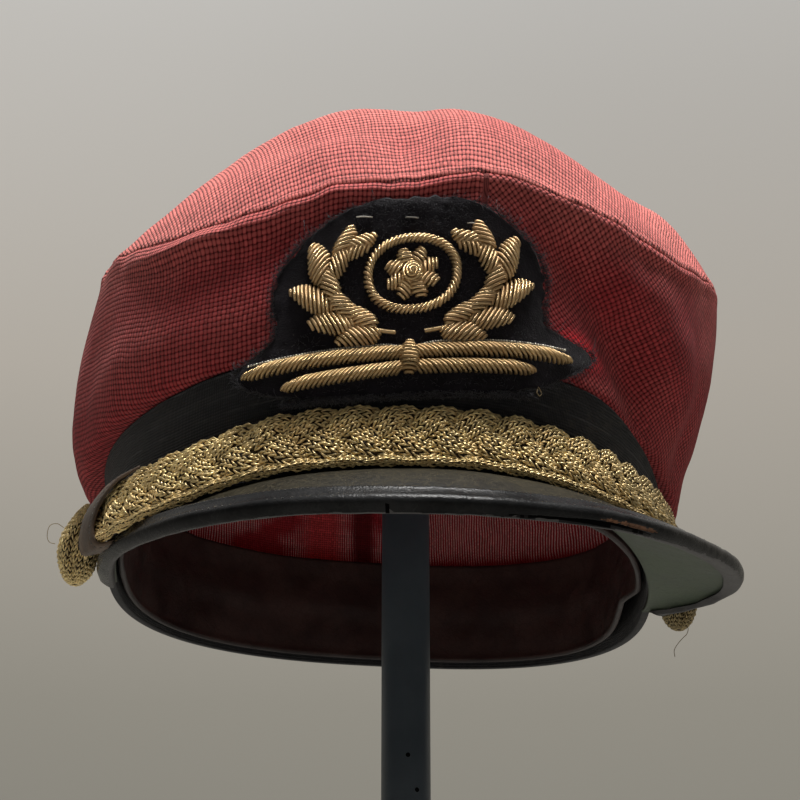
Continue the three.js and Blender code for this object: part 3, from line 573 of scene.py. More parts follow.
def cloth_look(name, red, faded, deep, pitch=1.28, streak=0.0):
    """Coarse plain-woven wool: threads over and under each other, with the holes between them and the dips of the
    threads darkened as painted shade, and their crowns lightened, partly as fading and partly as painted highlight.
    Tone carries the fading; below zero it paints a brighter red, painted light glowing through the cloth.
    """
    k = Look(name, Roughness=0.95, Sheen_Weight=0.06, Sheen_Roughness=0.6, Specular_IOR_Level=0.15)
    at = k.uv()
    wander = k.vmath("SCALE", k.vmath("SUBTRACT", k.noise(at, 16.0, 2.0, out="Color"), (0.5, 0.5, 0.5)), scale=1.5)
    small = k.vmath("SCALE", k.vmath("SUBTRACT", k.noise(at, 1.8, 1.0, out="Color"), (0.5, 0.5, 0.5)), scale=0.30)
    q = k.vmath("SCALE", k.vmath("ADD", k.vmath("ADD", at, wander), small), scale=1 / pitch)
    u, v, _ = k.split(q)
    fu, fv, iu, iv = k.math("FRACT", u), k.math("FRACT", v), k.math("FLOOR", u), k.math("FLOOR", v)
    over = k.math("FLOORED_MODULO", k.math("ADD", iu, iv), 2.0)
    under = k.math("SUBTRACT", 1.0, over)
    su, sv = k.math("SINE", k.math("MULTIPLY", fu, math.pi)), k.math("SINE", k.math("MULTIPLY", fv, math.pi))
    warp = k.math("MULTIPLY", k.math("POWER", su, 0.8), k.math("POWER", sv, 0.4))
    weft = k.math("MULTIPLY", k.math("POWER", sv, 0.8), k.math("POWER", su, 0.4))
    high = k.math("ADD", k.math("MULTIPLY", warp, under), k.math("MULTIPLY", weft, over))
    thread = k.math("ADD", k.math("MULTIPLY", k.white(iu), under), k.math("MULTIPLY", k.white(k.math("ADD", iv, 71.3)), over))
    cell = k.white(k.join(iu, iv), "3D")
    # the crowns of the threads lean towards the faded colour: partly fading, partly a painted highlight on the crowns
    crest_fade_and_highlight = k.math("MULTIPLY", k.math("SUBTRACT", high, 0.6), 0.5)
    fade = k.math("ADD", k.math("ADD", k.tone(), crest_fade_and_highlight), k.math("MULTIPLY", k.math("SUBTRACT", k.noise(at, 22.0, 4.0), 0.5), 0.5), clamp=True)
    base = k.blend(fade, red, faded)
    # tone below zero paints a brighter, more saturated red: painted light glowing through the cloth
    base = k.blend(k.range(k.tone(), -0.1, -0.9), base, tuple(min(1.0, c * f) for c, f in zip(red, (2.3, 0.9, 1.1))))
    base = k.blend(k.math("MULTIPLY", k.noise(k.vmath("ADD", at, (31.0, 7.0, 0.0)), 14.0, 4.0), 0.5), base, k.blend(0.5, base, deep))
    if streak:
        x, _, _ = k.split(k.vmath("ADD", k.place(), k.vmath("SCALE", k.noise(at, 14.0, 1.0, out="Color"), scale=1.8)))
        line = k.range(k.math("SINE", k.math("MULTIPLY", x, TAU / 0.9)), -0.1, 0.8)
        bare_x, bare_y, bare_z = k.split(k.place())
        worn = k.range(k.math("ADD", k.noise(k.vmath("ADD", at, (5.0, 90.0, 0.0)), 26.0, 3.0), k.range(bare_x, -5.0, 15.0, 0.0, 0.14)), 0.40, 0.56)
        rear = k.range(bare_y, 20.0, 50.0)
        # painted light: a bright red band near x = -22 at the rear of the inside, glowing as if lit through the cloth
        bright = k.math("MULTIPLY", k.range(k.math("ABSOLUTE", k.math("ADD", bare_x, 22.0)), 3.0, 11.0, 1.0, 0.0), rear)
        # painted shade: a dark crease near x = -7 at the rear of the inside
        crease = k.math("MULTIPLY", k.range(k.math("ABSOLUTE", k.math("ADD", bare_x, 7.0)), 2.0, 6.0, 1.0, 0.0), rear)
        worn = k.math("MULTIPLY", worn, k.math("SUBTRACT", 1.0, k.math("MAXIMUM", bright, crease)))
        worn = k.math("MULTIPLY", worn, k.range(k.math("ADD", bare_z, k.math("MULTIPLY", k.noise(at, 9.0, 2.0), 4.0)), 254.5, 258.5))
        base = k.blend(k.math("MULTIPLY", bright, 0.7), base, (0.80, 0.10, 0.11))
        base = k.blend(k.math("MULTIPLY", crease, 0.75), base, (0.08, 0.006, 0.008))
        base = k.blend(k.math("MULTIPLY", k.math("MULTIPLY", line, worn), streak), base, (1.0, 0.70, 0.70))
    if not streak:
        # painted light: the cloth is made up to a quarter brighter on its left and right near the seam
        px, _, pz = k.split(k.place())
        painted_upper_side_light = k.math("ADD", 1.0, k.math("MULTIPLY", k.math("MULTIPLY", k.range(k.math("ABSOLUTE", px), 25.0, 75.0), k.range(pz, 298.0, 312.0)), 0.24))
        base = k.blend(1.0, base, k.join(painted_upper_side_light, painted_upper_side_light, painted_upper_side_light), "MULTIPLY")
    lift = k.math("ADD", 0.74, k.math("ADD", k.math("MULTIPLY", thread, 0.34), k.math("MULTIPLY", cell, 0.22)))
    base = k.blend(1.0, base, k.join(lift, lift, lift), "MULTIPLY")
    # painted shade: the holes between the threads, and the threads where they dip under, are darkened
    hole = k.range(k.math("MAXIMUM", su, sv), 0.30, 0.82)
    dip_shade = k.range(high, 0.05, 0.7, 0.75 if streak else 0.5, 1.0)
    base = k.blend(1.0, base, k.join(dip_shade, dip_shade, dip_shade), "MULTIPLY")
    k.set(Base_Color=k.blend(hole, k.blend(0.35 if streak else k.range(k.tone(), 0.2, 0.8, 0.58, 0.86), base, (0.010, 0.002, 0.002)), base))
    fuzz = k.noise(at, 0.35, 2.0)
    h = k.math("ADD", k.math("ADD", high, k.math("MULTIPLY", hole, 0.5)), k.math("MULTIPLY", fuzz, 0.35))
    k.set(Normal=k.bump(h, 0.35 if streak else 0.8, 0.36))
    return k.m


def gold_look(name, bright, dark, rough=(0.34, 0.55), coil=0.0, metal=0.85, soil=0.5, right_shade=0.0):
    """Gilt wire: worn and tarnished in patches. coil adds the fine turns of bullion. right_shade darkens the tint
    towards +X as painted shade.
    """
    k = Look(name, Metallic=metal, Specular_IOR_Level=0.5)
    at, t = k.place(), k.tone()
    stain = k.range(k.math("ADD", k.noise(at, 13.0, 5.0, 0.65), k.math("MULTIPLY", k.math("SUBTRACT", t, 0.5), 0.32)), 0.36, 0.7)
    tint = k.blend(k.math("MULTIPLY", stain, soil), bright, dark)
    shade = k.math("ADD", 0.66, k.math("MULTIPLY", t, 0.55))
    tint = k.blend(1.0, tint, k.join(shade, shade, shade), "MULTIPLY")
    # painted shade: the tint darkens towards +X
    if right_shade:
        x, _, _ = k.split(at)
        side = k.range(x, 20.0, 90.0, 1.0, 1.0 - right_shade)
        tint = k.blend(1.0, tint, k.join(side, side, side), "MULTIPLY")
    k.set(Base_Color=tint, Roughness=k.range(stain, 0.0, 1.0, rough[0], rough[1]))
    h = k.noise(at, 0.5, 2.0)
    if coil:
        u, v, _ = k.split(k.uv())
        turns = k.math("SINE", k.math("MULTIPLY", k.math("ADD", k.math("MULTIPLY", v, 1 / coil), u), TAU))
        h = k.math("ADD", k.math("MULTIPLY", turns, 0.5), k.math("MULTIPLY", h, 0.4))
        k.set(Normal=k.bump(h, 0.6, 0.12))
    else:
        k.set(Normal=k.bump(h, 0.5, 0.15))
    return k.m


RED = cloth_look("red_cloth_woven", (0.40, 0.036, 0.044), (0.76, 0.225, 0.195), (0.22, 0.012, 0.017))
# inside of the cloth: its red is unfaded, and is also set brighter than the outside as painted light, for light coming
# through the cloth
RED_IN = cloth_look("red_cloth_inside", (0.47, 0.034, 0.048), (0.52, 0.075, 0.080), (0.26, 0.013, 0.020), 0.8, 0.8)
# the last number of the braid and knob golds darkens them towards +X: painted shade
GOLD_BRAID = gold_look("gold_braid_knit", (1.0, 0.78, 0.39), (0.86, 0.61, 0.28), (0.29, 0.48), 0.0, 0.5, 0.5, 0.40)
GOLD_KNOB = gold_look("gold_knob_knit", (1.0, 0.80, 0.41), (0.88, 0.65, 0.31), (0.36, 0.55), 0.0, 0.3, 0.4, 0.62)
# the cores under the stitches are near-black: painted shade in the gaps between the stitches
GOLD_CORE_SHADED = gold_look("gold_braid_core_painted_shade", (0.07, 0.042, 0.017), (0.03, 0.017, 0.007), (0.6, 0.8), 0.0, 0.2, 0.8)
BULLION = gold_look("gold_bullion_wire", (1.0, 0.72, 0.39), (0.37, 0.225, 0.108), (0.25, 0.46), 0.34, 0.75, 0.68)
SILVER = gold_look("silver_cord", (0.85, 0.80, 0.70), (0.4, 0.36, 0.3), (0.25, 0.45), 0.0, 0.7, 0.6)
BULLION_PALE = gold_look("gold_bullion_pale", (0.86, 0.61, 0.31), (0.38, 0.24, 0.11), (0.27, 0.48), 0.34, 0.75, 0.65)


def ribbon_look():
    k = Look("black_ribbon_ribbed", Roughness=0.78, Sheen_Weight=0.1, Specular_IOR_Level=0.3)
    at = k.uv()
    u, v, _ = k.split(k.vmath("ADD", at, k.vmath("SCALE", k.noise(at, 6.0, 2.0, out="Color"), scale=0.5)))
    rib = k.math("ABSOLUTE", k.math("SINE", k.math("MULTIPLY", v, math.pi / 0.82)))
    pick = k.math("SINE", k.math("MULTIPLY", u, TAU / 0.55))
    h = k.math("ADD", rib, k.math("MULTIPLY", pick, 0.22))
    x, _, _ = k.split(k.place())
    dust = k.math("MULTIPLY", k.range(k.noise(at, 5.0, 6.0, 0.7), 0.46, 0.72), k.range(x, -20.0, 70.0, 0.25, 0.8))
    base = k.blend(k.math("MULTIPLY", rib, k.noise(at, 2.0, 3.0)), (0.0065, 0.0066, 0.0085), (0.029, 0.029, 0.034))
    lucky = k.range(k.white(k.math("FLOOR", k.math("MULTIPLY", v, 1 / 0.82))), 0.4, 1.0)
    rubbed = k.math("MULTIPLY", k.math("MULTIPLY", rib, lucky), k.range(k.noise(at, 8.0, 3.0), 0.36, 0.62))
    base = k.blend(k.math("MULTIPLY", rubbed, 0.85), base, (0.075, 0.074, 0.077))
    # painted shade: three grooves, each darkened nearly to black as well as sunk in the bump
    groove = k.math("MINIMUM", k.math("MINIMUM", k.math("ABSOLUTE", k.math("SUBTRACT", v, 11.2)), k.math("ABSOLUTE", k.math("SUBTRACT", v, 12.9))), k.math("ABSOLUTE", k.math("SUBTRACT", v, 15.2)))
    groove = k.range(groove, 0.12, 0.4, 1.0, 0.0)
    base = k.blend(groove, base, (0.003, 0.003, 0.0035))
    h = k.math("SUBTRACT", h, k.math("MULTIPLY", groove, 1.2))
    k.set(Base_Color=k.blend(dust, base, (0.048, 0.042, 0.038)), Normal=k.bump(h, 0.8, 0.25))
    return k.m


def leather_look(name, dark, light, rough, grain=0.8, coat=0.0, crease=0.5, cracked=0.0, crack_tint=(0.1, 0.09, 0.07), shine=0.35):
    k = Look(name, Specular_IOR_Level=shine, Coat_Weight=coat, Coat_Roughness=0.18)
    at = k.place()
    patch = k.noise(at, 16.0, 5.0, 0.6)
    pores = k.cells(at, grain, "F1", "Distance")
    base = k.blend(k.range(patch, 0.3, 0.7), dark, light)
    base = k.blend(k.math("MULTIPLY", k.range(k.noise(at, 2.2, 5.0, 0.7), 0.5, 0.75), 0.5), base, k.blend(0.5, base, (0.0, 0.0, 0.0)))
    h = k.math("ADD", k.math("MULTIPLY", pores, 0.35), k.math("MULTIPLY", k.noise(at, 3.5, 4.0), crease))
    if cracked:
        warp = k.vmath("ADD", at, k.vmath("SCALE", k.noise(at, 4.0, 3.0, out="Color"), scale=5.0))
        line = k.range(k.cells(warp, 4.6), 0.0, 0.07, 1.0, 0.0)
        fine = k.range(k.cells(warp, 1.7), 0.0, 0.09, 0.6, 0.0)
        crack = k.math("MULTIPLY", k.math("MAXIMUM", line, fine), cracked)
        base = k.blend(crack, base, crack_tint)
        h = k.math("SUBTRACT", h, k.math("MULTIPLY", crack, 0.8))
        k.set(Roughness=k.math("ADD", k.range(patch, 0.25, 0.75, rough[0], rough[1]), k.math("MULTIPLY", crack, 0.3)))
    else:
        k.set(Roughness=k.range(patch, 0.25, 0.75, rough[0], rough[1]))
    k.set(Base_Color=base, Normal=k.bump(h, 0.5, 0.25))
    return k.m


RIBBON = ribbon_look()
PATENT = leather_look("patent_leather_cracked", (0.0030, 0.0025, 0.0012), (0.022, 0.0180, 0.0090), (0.45, 0.7), 0.7, 0.0, 0.5, 0.6, (0.062, 0.053, 0.033), 0.06)
GREEN = leather_look("green_leather_lining", (0.050, 0.068, 0.046), (0.10, 0.125, 0.088), (0.45, 0.7), 0.8, 0.0, 0.6, 0.3, (0.12, 0.135, 0.10))
BINDING = leather_look("binding_leather_black", (0.0130, 0.0132, 0.0138), (0.0260, 0.0264, 0.0274), (0.19, 0.30), 0.6, 0.0, 0.3, 0.15, (0.045, 0.043, 0.040), 0.045)
# painted light: a lighter copy of the binding leather for the underside of the roll
BINDING_UNDER_LIT = leather_look("binding_leather_under_painted_light", (0.048, 0.047, 0.048), (0.100, 0.097, 0.098), (0.4, 0.55), 0.6, 0.0, 0.5, 0.2, (0.12, 0.115, 0.11), 0.2)
TORN = leather_look("binding_leather_torn", (0.085, 0.038, 0.018), (0.24, 0.115, 0.060), (0.6, 0.85), 0.5, 0.0, 1.2, 0.6, (0.04, 0.02, 0.012))
# painted shade: near-black leather for the inside of the slit and the cut, and for the bottoms of the holes in the pole
SLIT_SHADE = leather_look("binding_leather_slit_painted_shade", (0.0010, 0.0010, 0.0010), (0.0025, 0.0022, 0.0022), (0.8, 0.95), shine=0.05)
SWEAT = leather_look("sweatband_leather", (0.024, 0.011, 0.010), (0.055, 0.027, 0.023), (0.45, 0.65), 0.9, 0.0, 0.8, 0.3, (0.02, 0.010, 0.009))
BEAD = leather_look("sweatband_bead", (0.028, 0.022, 0.022), (0.062, 0.051, 0.050), (0.5, 0.75), 0.7, 0.0, 0.6)
KEEPER = leather_look("keeper_leather_worn", (0.070, 0.047, 0.033), (0.25, 0.178, 0.130), (0.45, 0.7), 0.6, 0.0, 0.7, 0.3, (0.06, 0.045, 0.032))


def felt_look():
    k = Look("black_felt_worn", Roughness=0.95, Sheen_Weight=0.12, Sheen_Roughness=0.5, Specular_IOR_Level=0.15)
    at = k.place()
    patch = k.noise(at, 9.0, 5.0, 0.65)
    base = k.blend(k.range(patch, 0.35, 0.7), (0.0055, 0.004, 0.0065), (0.015, 0.012, 0.017))
    lint = k.range(k.noise(at, 0.8, 2.0, 0.5), 0.70, 0.78)
    k.set(Base_Color=k.blend(k.math("MULTIPLY", lint, 0.5), base, (0.11, 0.10, 0.10)))
    k.set(Normal=k.bump(k.math("ADD", k.noise(at, 0.45, 3.0, 0.7), k.math("MULTIPLY", k.noise(at, 2.5, 3.0), 0.8)), 0.9, 0.4))
    return k.m


def paint_look():
    k = Look("stand_paint_satin", Specular_IOR_Level=0.5)
    at = k.place()
    patch = k.noise(at, 25.0, 4.0, 0.6)
    base = k.blend(k.range(patch, 0.3, 0.7), (0.034, 0.046, 0.060), (0.050, 0.065, 0.081))
    base = k.blend(k.math("MULTIPLY", k.range(k.noise(at, 1.1, 4.0, 0.7), 0.62, 0.74), 0.5), base, (0.06, 0.065, 0.07))
    k.set(Base_Color=base, Roughness=k.range(patch, 0.2, 0.8, 0.38, 0.52), Normal=k.bump(k.noise(at, 1.4, 3.0), 0.25, 0.2))
    return k.m


def thread_look(name, colour):
    k = Look(name, Roughness=0.8, Sheen_Weight=0.2, Specular_IOR_Level=0.3)
    at, t = k.place(), k.tone()
    shade = k.math("ADD", 0.6, k.math("MULTIPLY", t, 0.6))
    base = k.blend(1.0, k.blend(k.noise(at, 0.7, 3.0), colour, tuple(0.55 * c for c in colour)), k.join(shade, shade, shade), "MULTIPLY")
    k.set(Base_Color=base, Normal=k.bump(k.noise(at, 0.25, 2.0), 0.5, 0.1))
    return k.m


FELT, PAINT = felt_look(), paint_look()
FUZZ = thread_look("felt_fuzz", (0.034, 0.031, 0.043))
WHITE_THREAD = thread_look("white_thread", (0.62, 0.58, 0.52))
GREY_THREAD = thread_look("grey_thread", (0.20, 0.19, 0.17))
DIM_THREAD = thread_look("dim_thread", (0.11, 0.105, 0.095))
GOLD_THREAD = thread_look("gold_thread", (0.42, 0.30, 0.14))

# ---------------------------------------------------------------- crown
N_AROUND = 420
DEG = -180 + 360 * np.arange(N_AROUND) / N_AROUND
DEG_SHUT = -180 + 360 * np.arange(N_AROUND + 1) / N_AROUND


def ring_uv(p, axis_deg):
    """Length round the ring at its middle row, for N + 1 columns."""
    mid = p[:, p.shape[1] // 2]
    step = np.linalg.norm(np.roll(mid, -1, 0) - mid, axis=-1)
    return np.concatenate([[0], np.cumsum(step)])


def lip_of(deg):
    return 0.12 + 0.85 * np.exp(-((turn(deg, -1) / 19) ** 2)) + 0.75 * np.exp(-((turn(deg, 47) / 13) ** 2))


def roll_of(deg):
    """The slack cloth hangs in a roll under the seam, left of the badge and a little over its top."""
    return 2.8 * np.exp(-((turn(deg, -31) / 15) ** 2)) + 0.9 * np.exp(-((turn(deg, -5) / 9) ** 2))


def pucker(deg):
    """Small rise and fall of the seam where the cloth is drawn up by its thread."""
    ring = around(deg, 0 * deg, 0 * deg + 60.0)
    return 0.5 * vnoise(ring, 9, 91) + 0.3 * vnoise(ring, 3.8, 92) + 2.3 * np.exp(-((turn(deg, 31) / 10) ** 2)) - 0.8 * np.exp(-((turn(deg, 52) / 8) ** 2)), 0.4 * vnoise(ring, 5.5, 93)


# smaller hollows and rolls of the limp cloth, laid over the folds of the panels
SOFT_SIDE = [(-36, 0.66, 15, 0.13, -0.8), (-33, 0.44, 16, 0.12, 0.4), (-48, 0.28, 13, 0.10, -0.6), (-72, 0.62, 10, 0.16, 1.0), (28, 0.80, 5, 0.10, -3.0), (33, 0.68, 5, 0.11, -3.8), (39, 0.54, 5, 0.12, -4.4), (44, 0.39, 5, 0.14, -4.6), (46, 0.18, 5, 0.12, -3.2), (44, 0.78, 7, 0.12, 2.2), (53, 0.62, 7, 0.14, 2.6), (60, 0.44, 7, 0.18, 2.6), (31, 0.38, 5, 0.14, 2.2), (66, 0.36, 4, 0.24, -1.5), (82, 0.40, 8, 0.18, 1.5)]
SOFT_TOP = [(0, 0.10, 4, 0.10, -1.3), (-16, 0.14, 8, 0.07, 1.2), (-30, 0.24, 10, 0.08, -1.2), (24, 0.12, 8, 0.07, 0.9)]
up = np.concatenate([np.linspace(0, 0.86, 38), np.linspace(0.875, 0.985, 14), [0.9905, 0.995, 0.998]])
D, U = np.meshgrid(DEG, up, indexing="ij")
side = side_point(D, U)
n_side = grid_normals(side, True)
n_side *= np.sign((n_side * (side - np.array([0, 0, 60]))).sum(-1))[..., None]
reach = arc_along(side, 1)
from_seam = reach[:, -1:] - reach
panel = np.exp(-((turn(D, 14) * 1.8 / 0.8) ** 2)) + np.exp(-((turn(D, 178) * 1.8 / 0.8) ** 2))
puff = np.exp(-((turn(D, 14) * 1.8 / 2.6) ** 2)) + np.exp(-((turn(D, 178) * 1.8 / 2.6) ** 2))
edge_fade = np.sin(math.pi * np.clip(U, 0, 1)) ** 0.5
push = (
    1.1 * vnoise(side, 34, 3) * edge_fade
    + 0.5 * vnoise(side, 13, 5) * edge_fade
    + 0.12 * vnoise(side, 4.5, 6)
    + folds(SOFT_SIDE, D, U) * edge_fade
    + lip_of(D) * np.exp(-(((from_seam - 2.1) / 1.8) ** 2))
    - 0.34 * np.exp(-((from_seam / 0.6) ** 2))
    - 0.3 * lip_of(D) * np.exp(-(((from_seam - 5.2) / 1.4) ** 2))
    + pucker(D)[1] * np.exp(-((from_seam / 4) ** 2))
    + roll_of(D) * (np.exp(-(((from_seam - 4.6) / 2.9) ** 2)) - 0.25 * np.exp(-(((from_seam - 12.5) / 4.5) ** 2)))
    - 0.9 * panel + 0.5 * puff
)
outer = side + n_side * push[..., None] + (pucker(D)[0] * np.exp(-((from_seam / 7) ** 2)))[..., None] * np.array([0, 0, 1.0])
inner = outer - n_side * CLOTH_THICK
length = ring_uv(side, DEG)
mid_deg = np.radians(DEG_SHUT[:-1] + 180 / N_AROUND)
a = np.concatenate([[0], np.cumsum(np.diff(length) * (0.55 + 0.45 * np.abs(np.cos(mid_deg))))])[:, None]
a = a - a[N_AROUND // 2]
drop = np.concatenate([-from_seam, -from_seam[:1]]) * np.where((DEG_SHUT > 14) & (DEG_SHUT < 178), 1.0, 0.86)[:, None]
bias = np.where((DEG_SHUT > 14) & (DEG_SHUT < 178), math.radians(44), 0.0)[:, None]
uv = np.stack([a * np.cos(bias) - drop * np.sin(bias), a * np.sin(bias) + drop * np.cos(bias)], -1)
facing_up = np.clip(n_side[..., 2] * 0.8 + 0.2, 0, 1)
fade_and_glow_side = np.clip(0.04 + 0.55 * facing_up + 0.32 * np.exp(-((from_seam / 9) ** 2)) + 0.12 * vnoise(side, 20, 9), 0, 1)
# a hollow by the badge where the cloth kept its red; the tone there goes below zero, which the cloth paints a brighter
# red: painted light glowing through the cloth
fade_and_glow_side = fade_and_glow_side - 1.3 * np.exp(-((turn(D, 31) / 6) ** 2) - (((U - 0.35) / 0.11) ** 2))
part = Part()
wall(part, outer, inner, True, uv, mats=(0, 1), tone=fade_and_glow_side)
crown_side = part.make("crown_side_cloth", [RED, RED_IN], ["crown_side"])

up = np.concatenate([[0.001, 0.0035, 0.007], np.linspace(0.012, 0.1, 16), np.linspace(0.115, 0.985, 52)])
D, U = np.meshgrid(DEG, up, indexing="ij")
top = top_point(D, U)
n_top = grid_normals(top, True)
n_top *= np.sign((n_top * (top - np.array([0, 0, 60]))).sum(-1))[..., None]
reach = arc_along(top, 1)
calm = np.clip(U * 6, 0, 1) * np.clip((1 - U) * 4, 0, 1)
push = (
    1.2 * vnoise(top, 40, 13) * calm
    + 0.55 * vnoise(top, 15, 15) * calm
    + 0.14 * vnoise(top, 4.5, 16)
    + (0.14 + 0.6 * (lip_of(D) - 0.12)) * np.exp(-(((reach - 2.0) / 1.7) ** 2))
    - 0.34 * np.exp(-((reach / 0.6) ** 2))
    - 0.3 * lip_of(D) * np.exp(-(((reach - 5.2) / 1.5) ** 2))
    + pucker(D)[1] * np.exp(-((reach / 4) ** 2))
    + folds(SOFT_TOP, D, U) * calm
    + (np.exp(-((turn(D, -70) / 38) ** 2)) - np.exp(-((turn(D, 72) / 38) ** 2))) * (2.3 * np.exp(-(((U - 0.42) / 0.14) ** 2)) - 1.2 * np.exp(-(((U - 0.15) / 0.09) ** 2))) + 1.6 * np.exp(-((turn(D, 72) / 30) ** 2)) * np.exp(-(((U - 0.19) / 0.09) ** 2))
)
outer = top + n_top * push[..., None] + (pucker(D)[0] * np.exp(-((reach / 7) ** 2)))[..., None] * np.array([0, 0, 1.0])
inner = outer - n_top * CLOTH_THICK
flat_r = reach[:, -1:] - reach + np.linalg.norm(top[:, -1] - APEX, axis=-1)[:, None]
dx, dy = top[..., 0] - APEX[0], top[..., 1] - APEX[1]
l = np.hypot(dx, dy)
flat_y = flat_r * dy / l
uv = np.stack([1.01 * flat_r * dx / l, 0.62 * flat_y + 0.18 * (np.sqrt(flat_y ** 2 + 30.0 ** 2) - 30.0)], -1)
uv = np.concatenate([uv, uv[:1]])
fade_top = np.clip(0.46 + 0.46 * n_top[..., 2] + 0.2 * vnoise(top, 26, 19), 0, 1)
part = Part()
apex = top_point(np.array([0.0]), np.array([1.0]))[0]
wall(part, outer, inner, True, uv, tip=(apex, apex - np.array([0, 0, CLOTH_THICK]), np.zeros(2)), mats=(0, 1), tone=fade_top)
crown_top = part.make("crown_top_cloth", [RED, RED_IN], ["crown_top"])

# ---------------------------------------------------------------- band and sweatband
share = np.array([-0.03, -0.01, 0.02, 0.06, 0.12, 0.2, 0.3, 0.4, 0.5, 0.6, 0.7, 0.8, 0.88, 0.94, 0.98, 1.0])
D, S = np.meshgrid(DEG, share, indexing="ij")
foot, head = band_foot(D), band_top(D)
Z = mix(foot, head, S)
roll = 0.55 * np.exp(-((S / 0.045) ** 2)) + 0.35 * np.exp(-(((1 - S) / 0.03) ** 2))
wave = 0.35 * vnoise(around(D, 0, Z), 22, 23) * np.sin(math.pi * np.clip(S, 0, 1))
outer = around(D, band_out(Z) + roll + wave, Z)
inner = around(D, band_out(Z) - BAND_THICK + 0.3 + wave * 0.3, Z)
length = ring_uv(outer, DEG)
uv = np.stack(np.broadcast_arrays(length[:, None], np.concatenate([Z - foot, (Z - foot)[:1]])), -1)
part = Part()
wall(part, outer, inner, True, uv)
band = part.make("cap_band_ribbon", RIBBON, ["cap_band"])

def tuck(d):
    """How far the sweatband's edge stands in from the rim: it steps inward at the right and comes back slowly."""
    a, b = np.clip((d - 81) / 12, 0, 1), np.clip((d - 99) / 46, 0, 1)
    return 4.3 * a * a * (3 - 2 * a) * (1 - b * b * (3 - 2 * b))


share = np.concatenate([[0, 0.015, 0.03, 0.05, 0.08], np.linspace(0.13, 0.97, 17), [1.0]])
D, S = np.meshgrid(DEG, share, indexing="ij")
low = np.minimum(0, band_foot(D)) + 1.0
Z = mix(low, 37.0, S)
stop = BAND_THICK + 0.8 + np.where(Z > 20, 1.0, np.clip((Z - 14) / 6, 0, 1))
base = band_out(np.minimum(Z, band_top(D))) - stop - tuck(D) * np.exp(-((S / 0.4) ** 2))
ripple = (0.55 * vnoise(around(D, 0, Z) * np.array([1, 1, 0.35]), 9, 31) + 0.3 * vnoise(around(D, 0, Z), 4, 32)) * np.clip(S * 3, 0.1, 1) - 0.5
bead = 0.5 * np.exp(-(((S - 0.02) / 0.022) ** 2))
outer = around(D, base + np.minimum(ripple, 0.25), Z)
inner = around(D, base + np.minimum(ripple, 0.25) - 1.2 - bead, Z)
length = ring_uv(outer, DEG)
uv = np.stack(np.broadcast_arrays(length[:, None], np.concatenate([Z, Z[:1]])), -1)
part = Part()
wall(part, outer, inner, True, uv)
ring_d = np.linspace(-180, 180, 361)
ring_z = np.minimum(0, band_foot(ring_d)) + 1.0
tubes(part, around(ring_d, band_out(ring_z + 0.4) - BAND_THICK - 0.8 - 1.35 - tuck(ring_d) + 0.12 * vnoise(around(ring_d, 0, 0), 6, 33), ring_z + 0.25), 0.72, None, 8, 1, 1)
sweat = part.make("sweatband_leather", [SWEAT, BEAD], ["sweatband"])

# ---------------------------------------------------------------- peak, lining and binding
LAST = len(PEAK_EDGE) - 1


def peak_normal(along, out):
    u, v = np.clip(along, 0.06, LAST - 0.06), np.clip(out, 0.06, 0.94)
    n = unit(np.cross(peak_point(u + 0.05, v) - peak_point(u - 0.05, v), peak_point(u, v + 0.05) - peak_point(u, v - 0.05)))
    return n * np.where(n @ np.array([0, -0.2, 1.0]) < 0, -1.0, 1.0)[..., None]


def peak_sheet(depth, start, rows, lumps):
    A, O = np.meshgrid(np.linspace(0, LAST, 260), np.linspace(start, 1, rows), indexing="ij")
    p, n = peak_point(A, O), peak_normal(A, O)
    bend = lumps * (vnoise(p, 26, 41) + 0.4 * vnoise(p, 9, 42)) * np.sin(math.pi * O) ** 0.7
    return p + n * (bend - depth)[..., None]


for name, look, slot_name, node, depth, thick, start in (
    ("peak_patent", PATENT, "patent_leather", "peak", 0.0, 1.6, 0.0),
    ("peak_lining_leather", GREEN, "green_leather", "peak_lining", 1.68, 0.6, 0.0),
):
    outer, inner = peak_sheet(depth, start, 30, 0.22), peak_sheet(depth + thick, start, 30, 0.22)
    run = arc_along(outer, 0)[:, :1] + 0 * outer[..., 0]
    part = Part()
    wall(part, outer, inner, False, np.stack([run, arc_along(outer, 1)], -1))
    part.make(name, look, [node])

ALONG = np.unique(np.round(np.concatenate([np.linspace(0, LAST, 420), np.linspace(0.5 * LAST, 0.72 * LAST, 230)]), 4))
edge, near, root = (peak_point(ALONG, np.full(len(ALONG), o)) for o in (1.0, 0.8, 0.0))
n_edge = peak_normal(ALONG, np.ones(len(ALONG)))
d_edge = edge - near
d_edge = unit(d_edge - (d_edge * n_edge).sum(-1, keepdims=True) * n_edge)
b_share = np.clip((np.linalg.norm(edge - root, axis=-1) - 2.2) / (6.6 * 1.6), 0.12, 1)
run = arc_along(edge, 0)
# outline of the binding's roll: outward, then up
lip = np.array([(-6.6, 0.75), (-6.4, 1.35), (-5.6, 1.55), (-4.4, 1.42), (-2.6, 1.38), (-1.1, 1.5), (0.1, 1.28), (0.95, 0.7), (1.38, -0.05), (1.5, -0.85), (1.4, -1.65), (1.0, -2.4), (0.3, -2.95), (-1.0, -3.28), (-3, -3.36), (-4.6, -3.32), (-5.0, -3.1), (-4.6, -2.6), (-2, -2.52), (-0.2, -2.4), (0.4, -1.9), (0.55, -1.1), (0.45, -0.1), (-0.3, 0.55), (-2.5, 0.62), (-5, 0.62)])
LIP_FINE = 3
lip_row = np.arange(len(lip) * LIP_FINE) / LIP_FINE
a, f = np.floor(lip_row).astype(int), (lip_row % 1)[:, None]
g = [lip[(a + o) % len(lip)] for o in (-1, 0, 1, 2)]
lip = g[1] + 0.5 * f * (g[2] - g[0] + f * (2 * g[0] - 5 * g[1] + 4 * g[2] - g[3] + f * (3 * (g[1] - g[2]) + g[3] - g[0])))
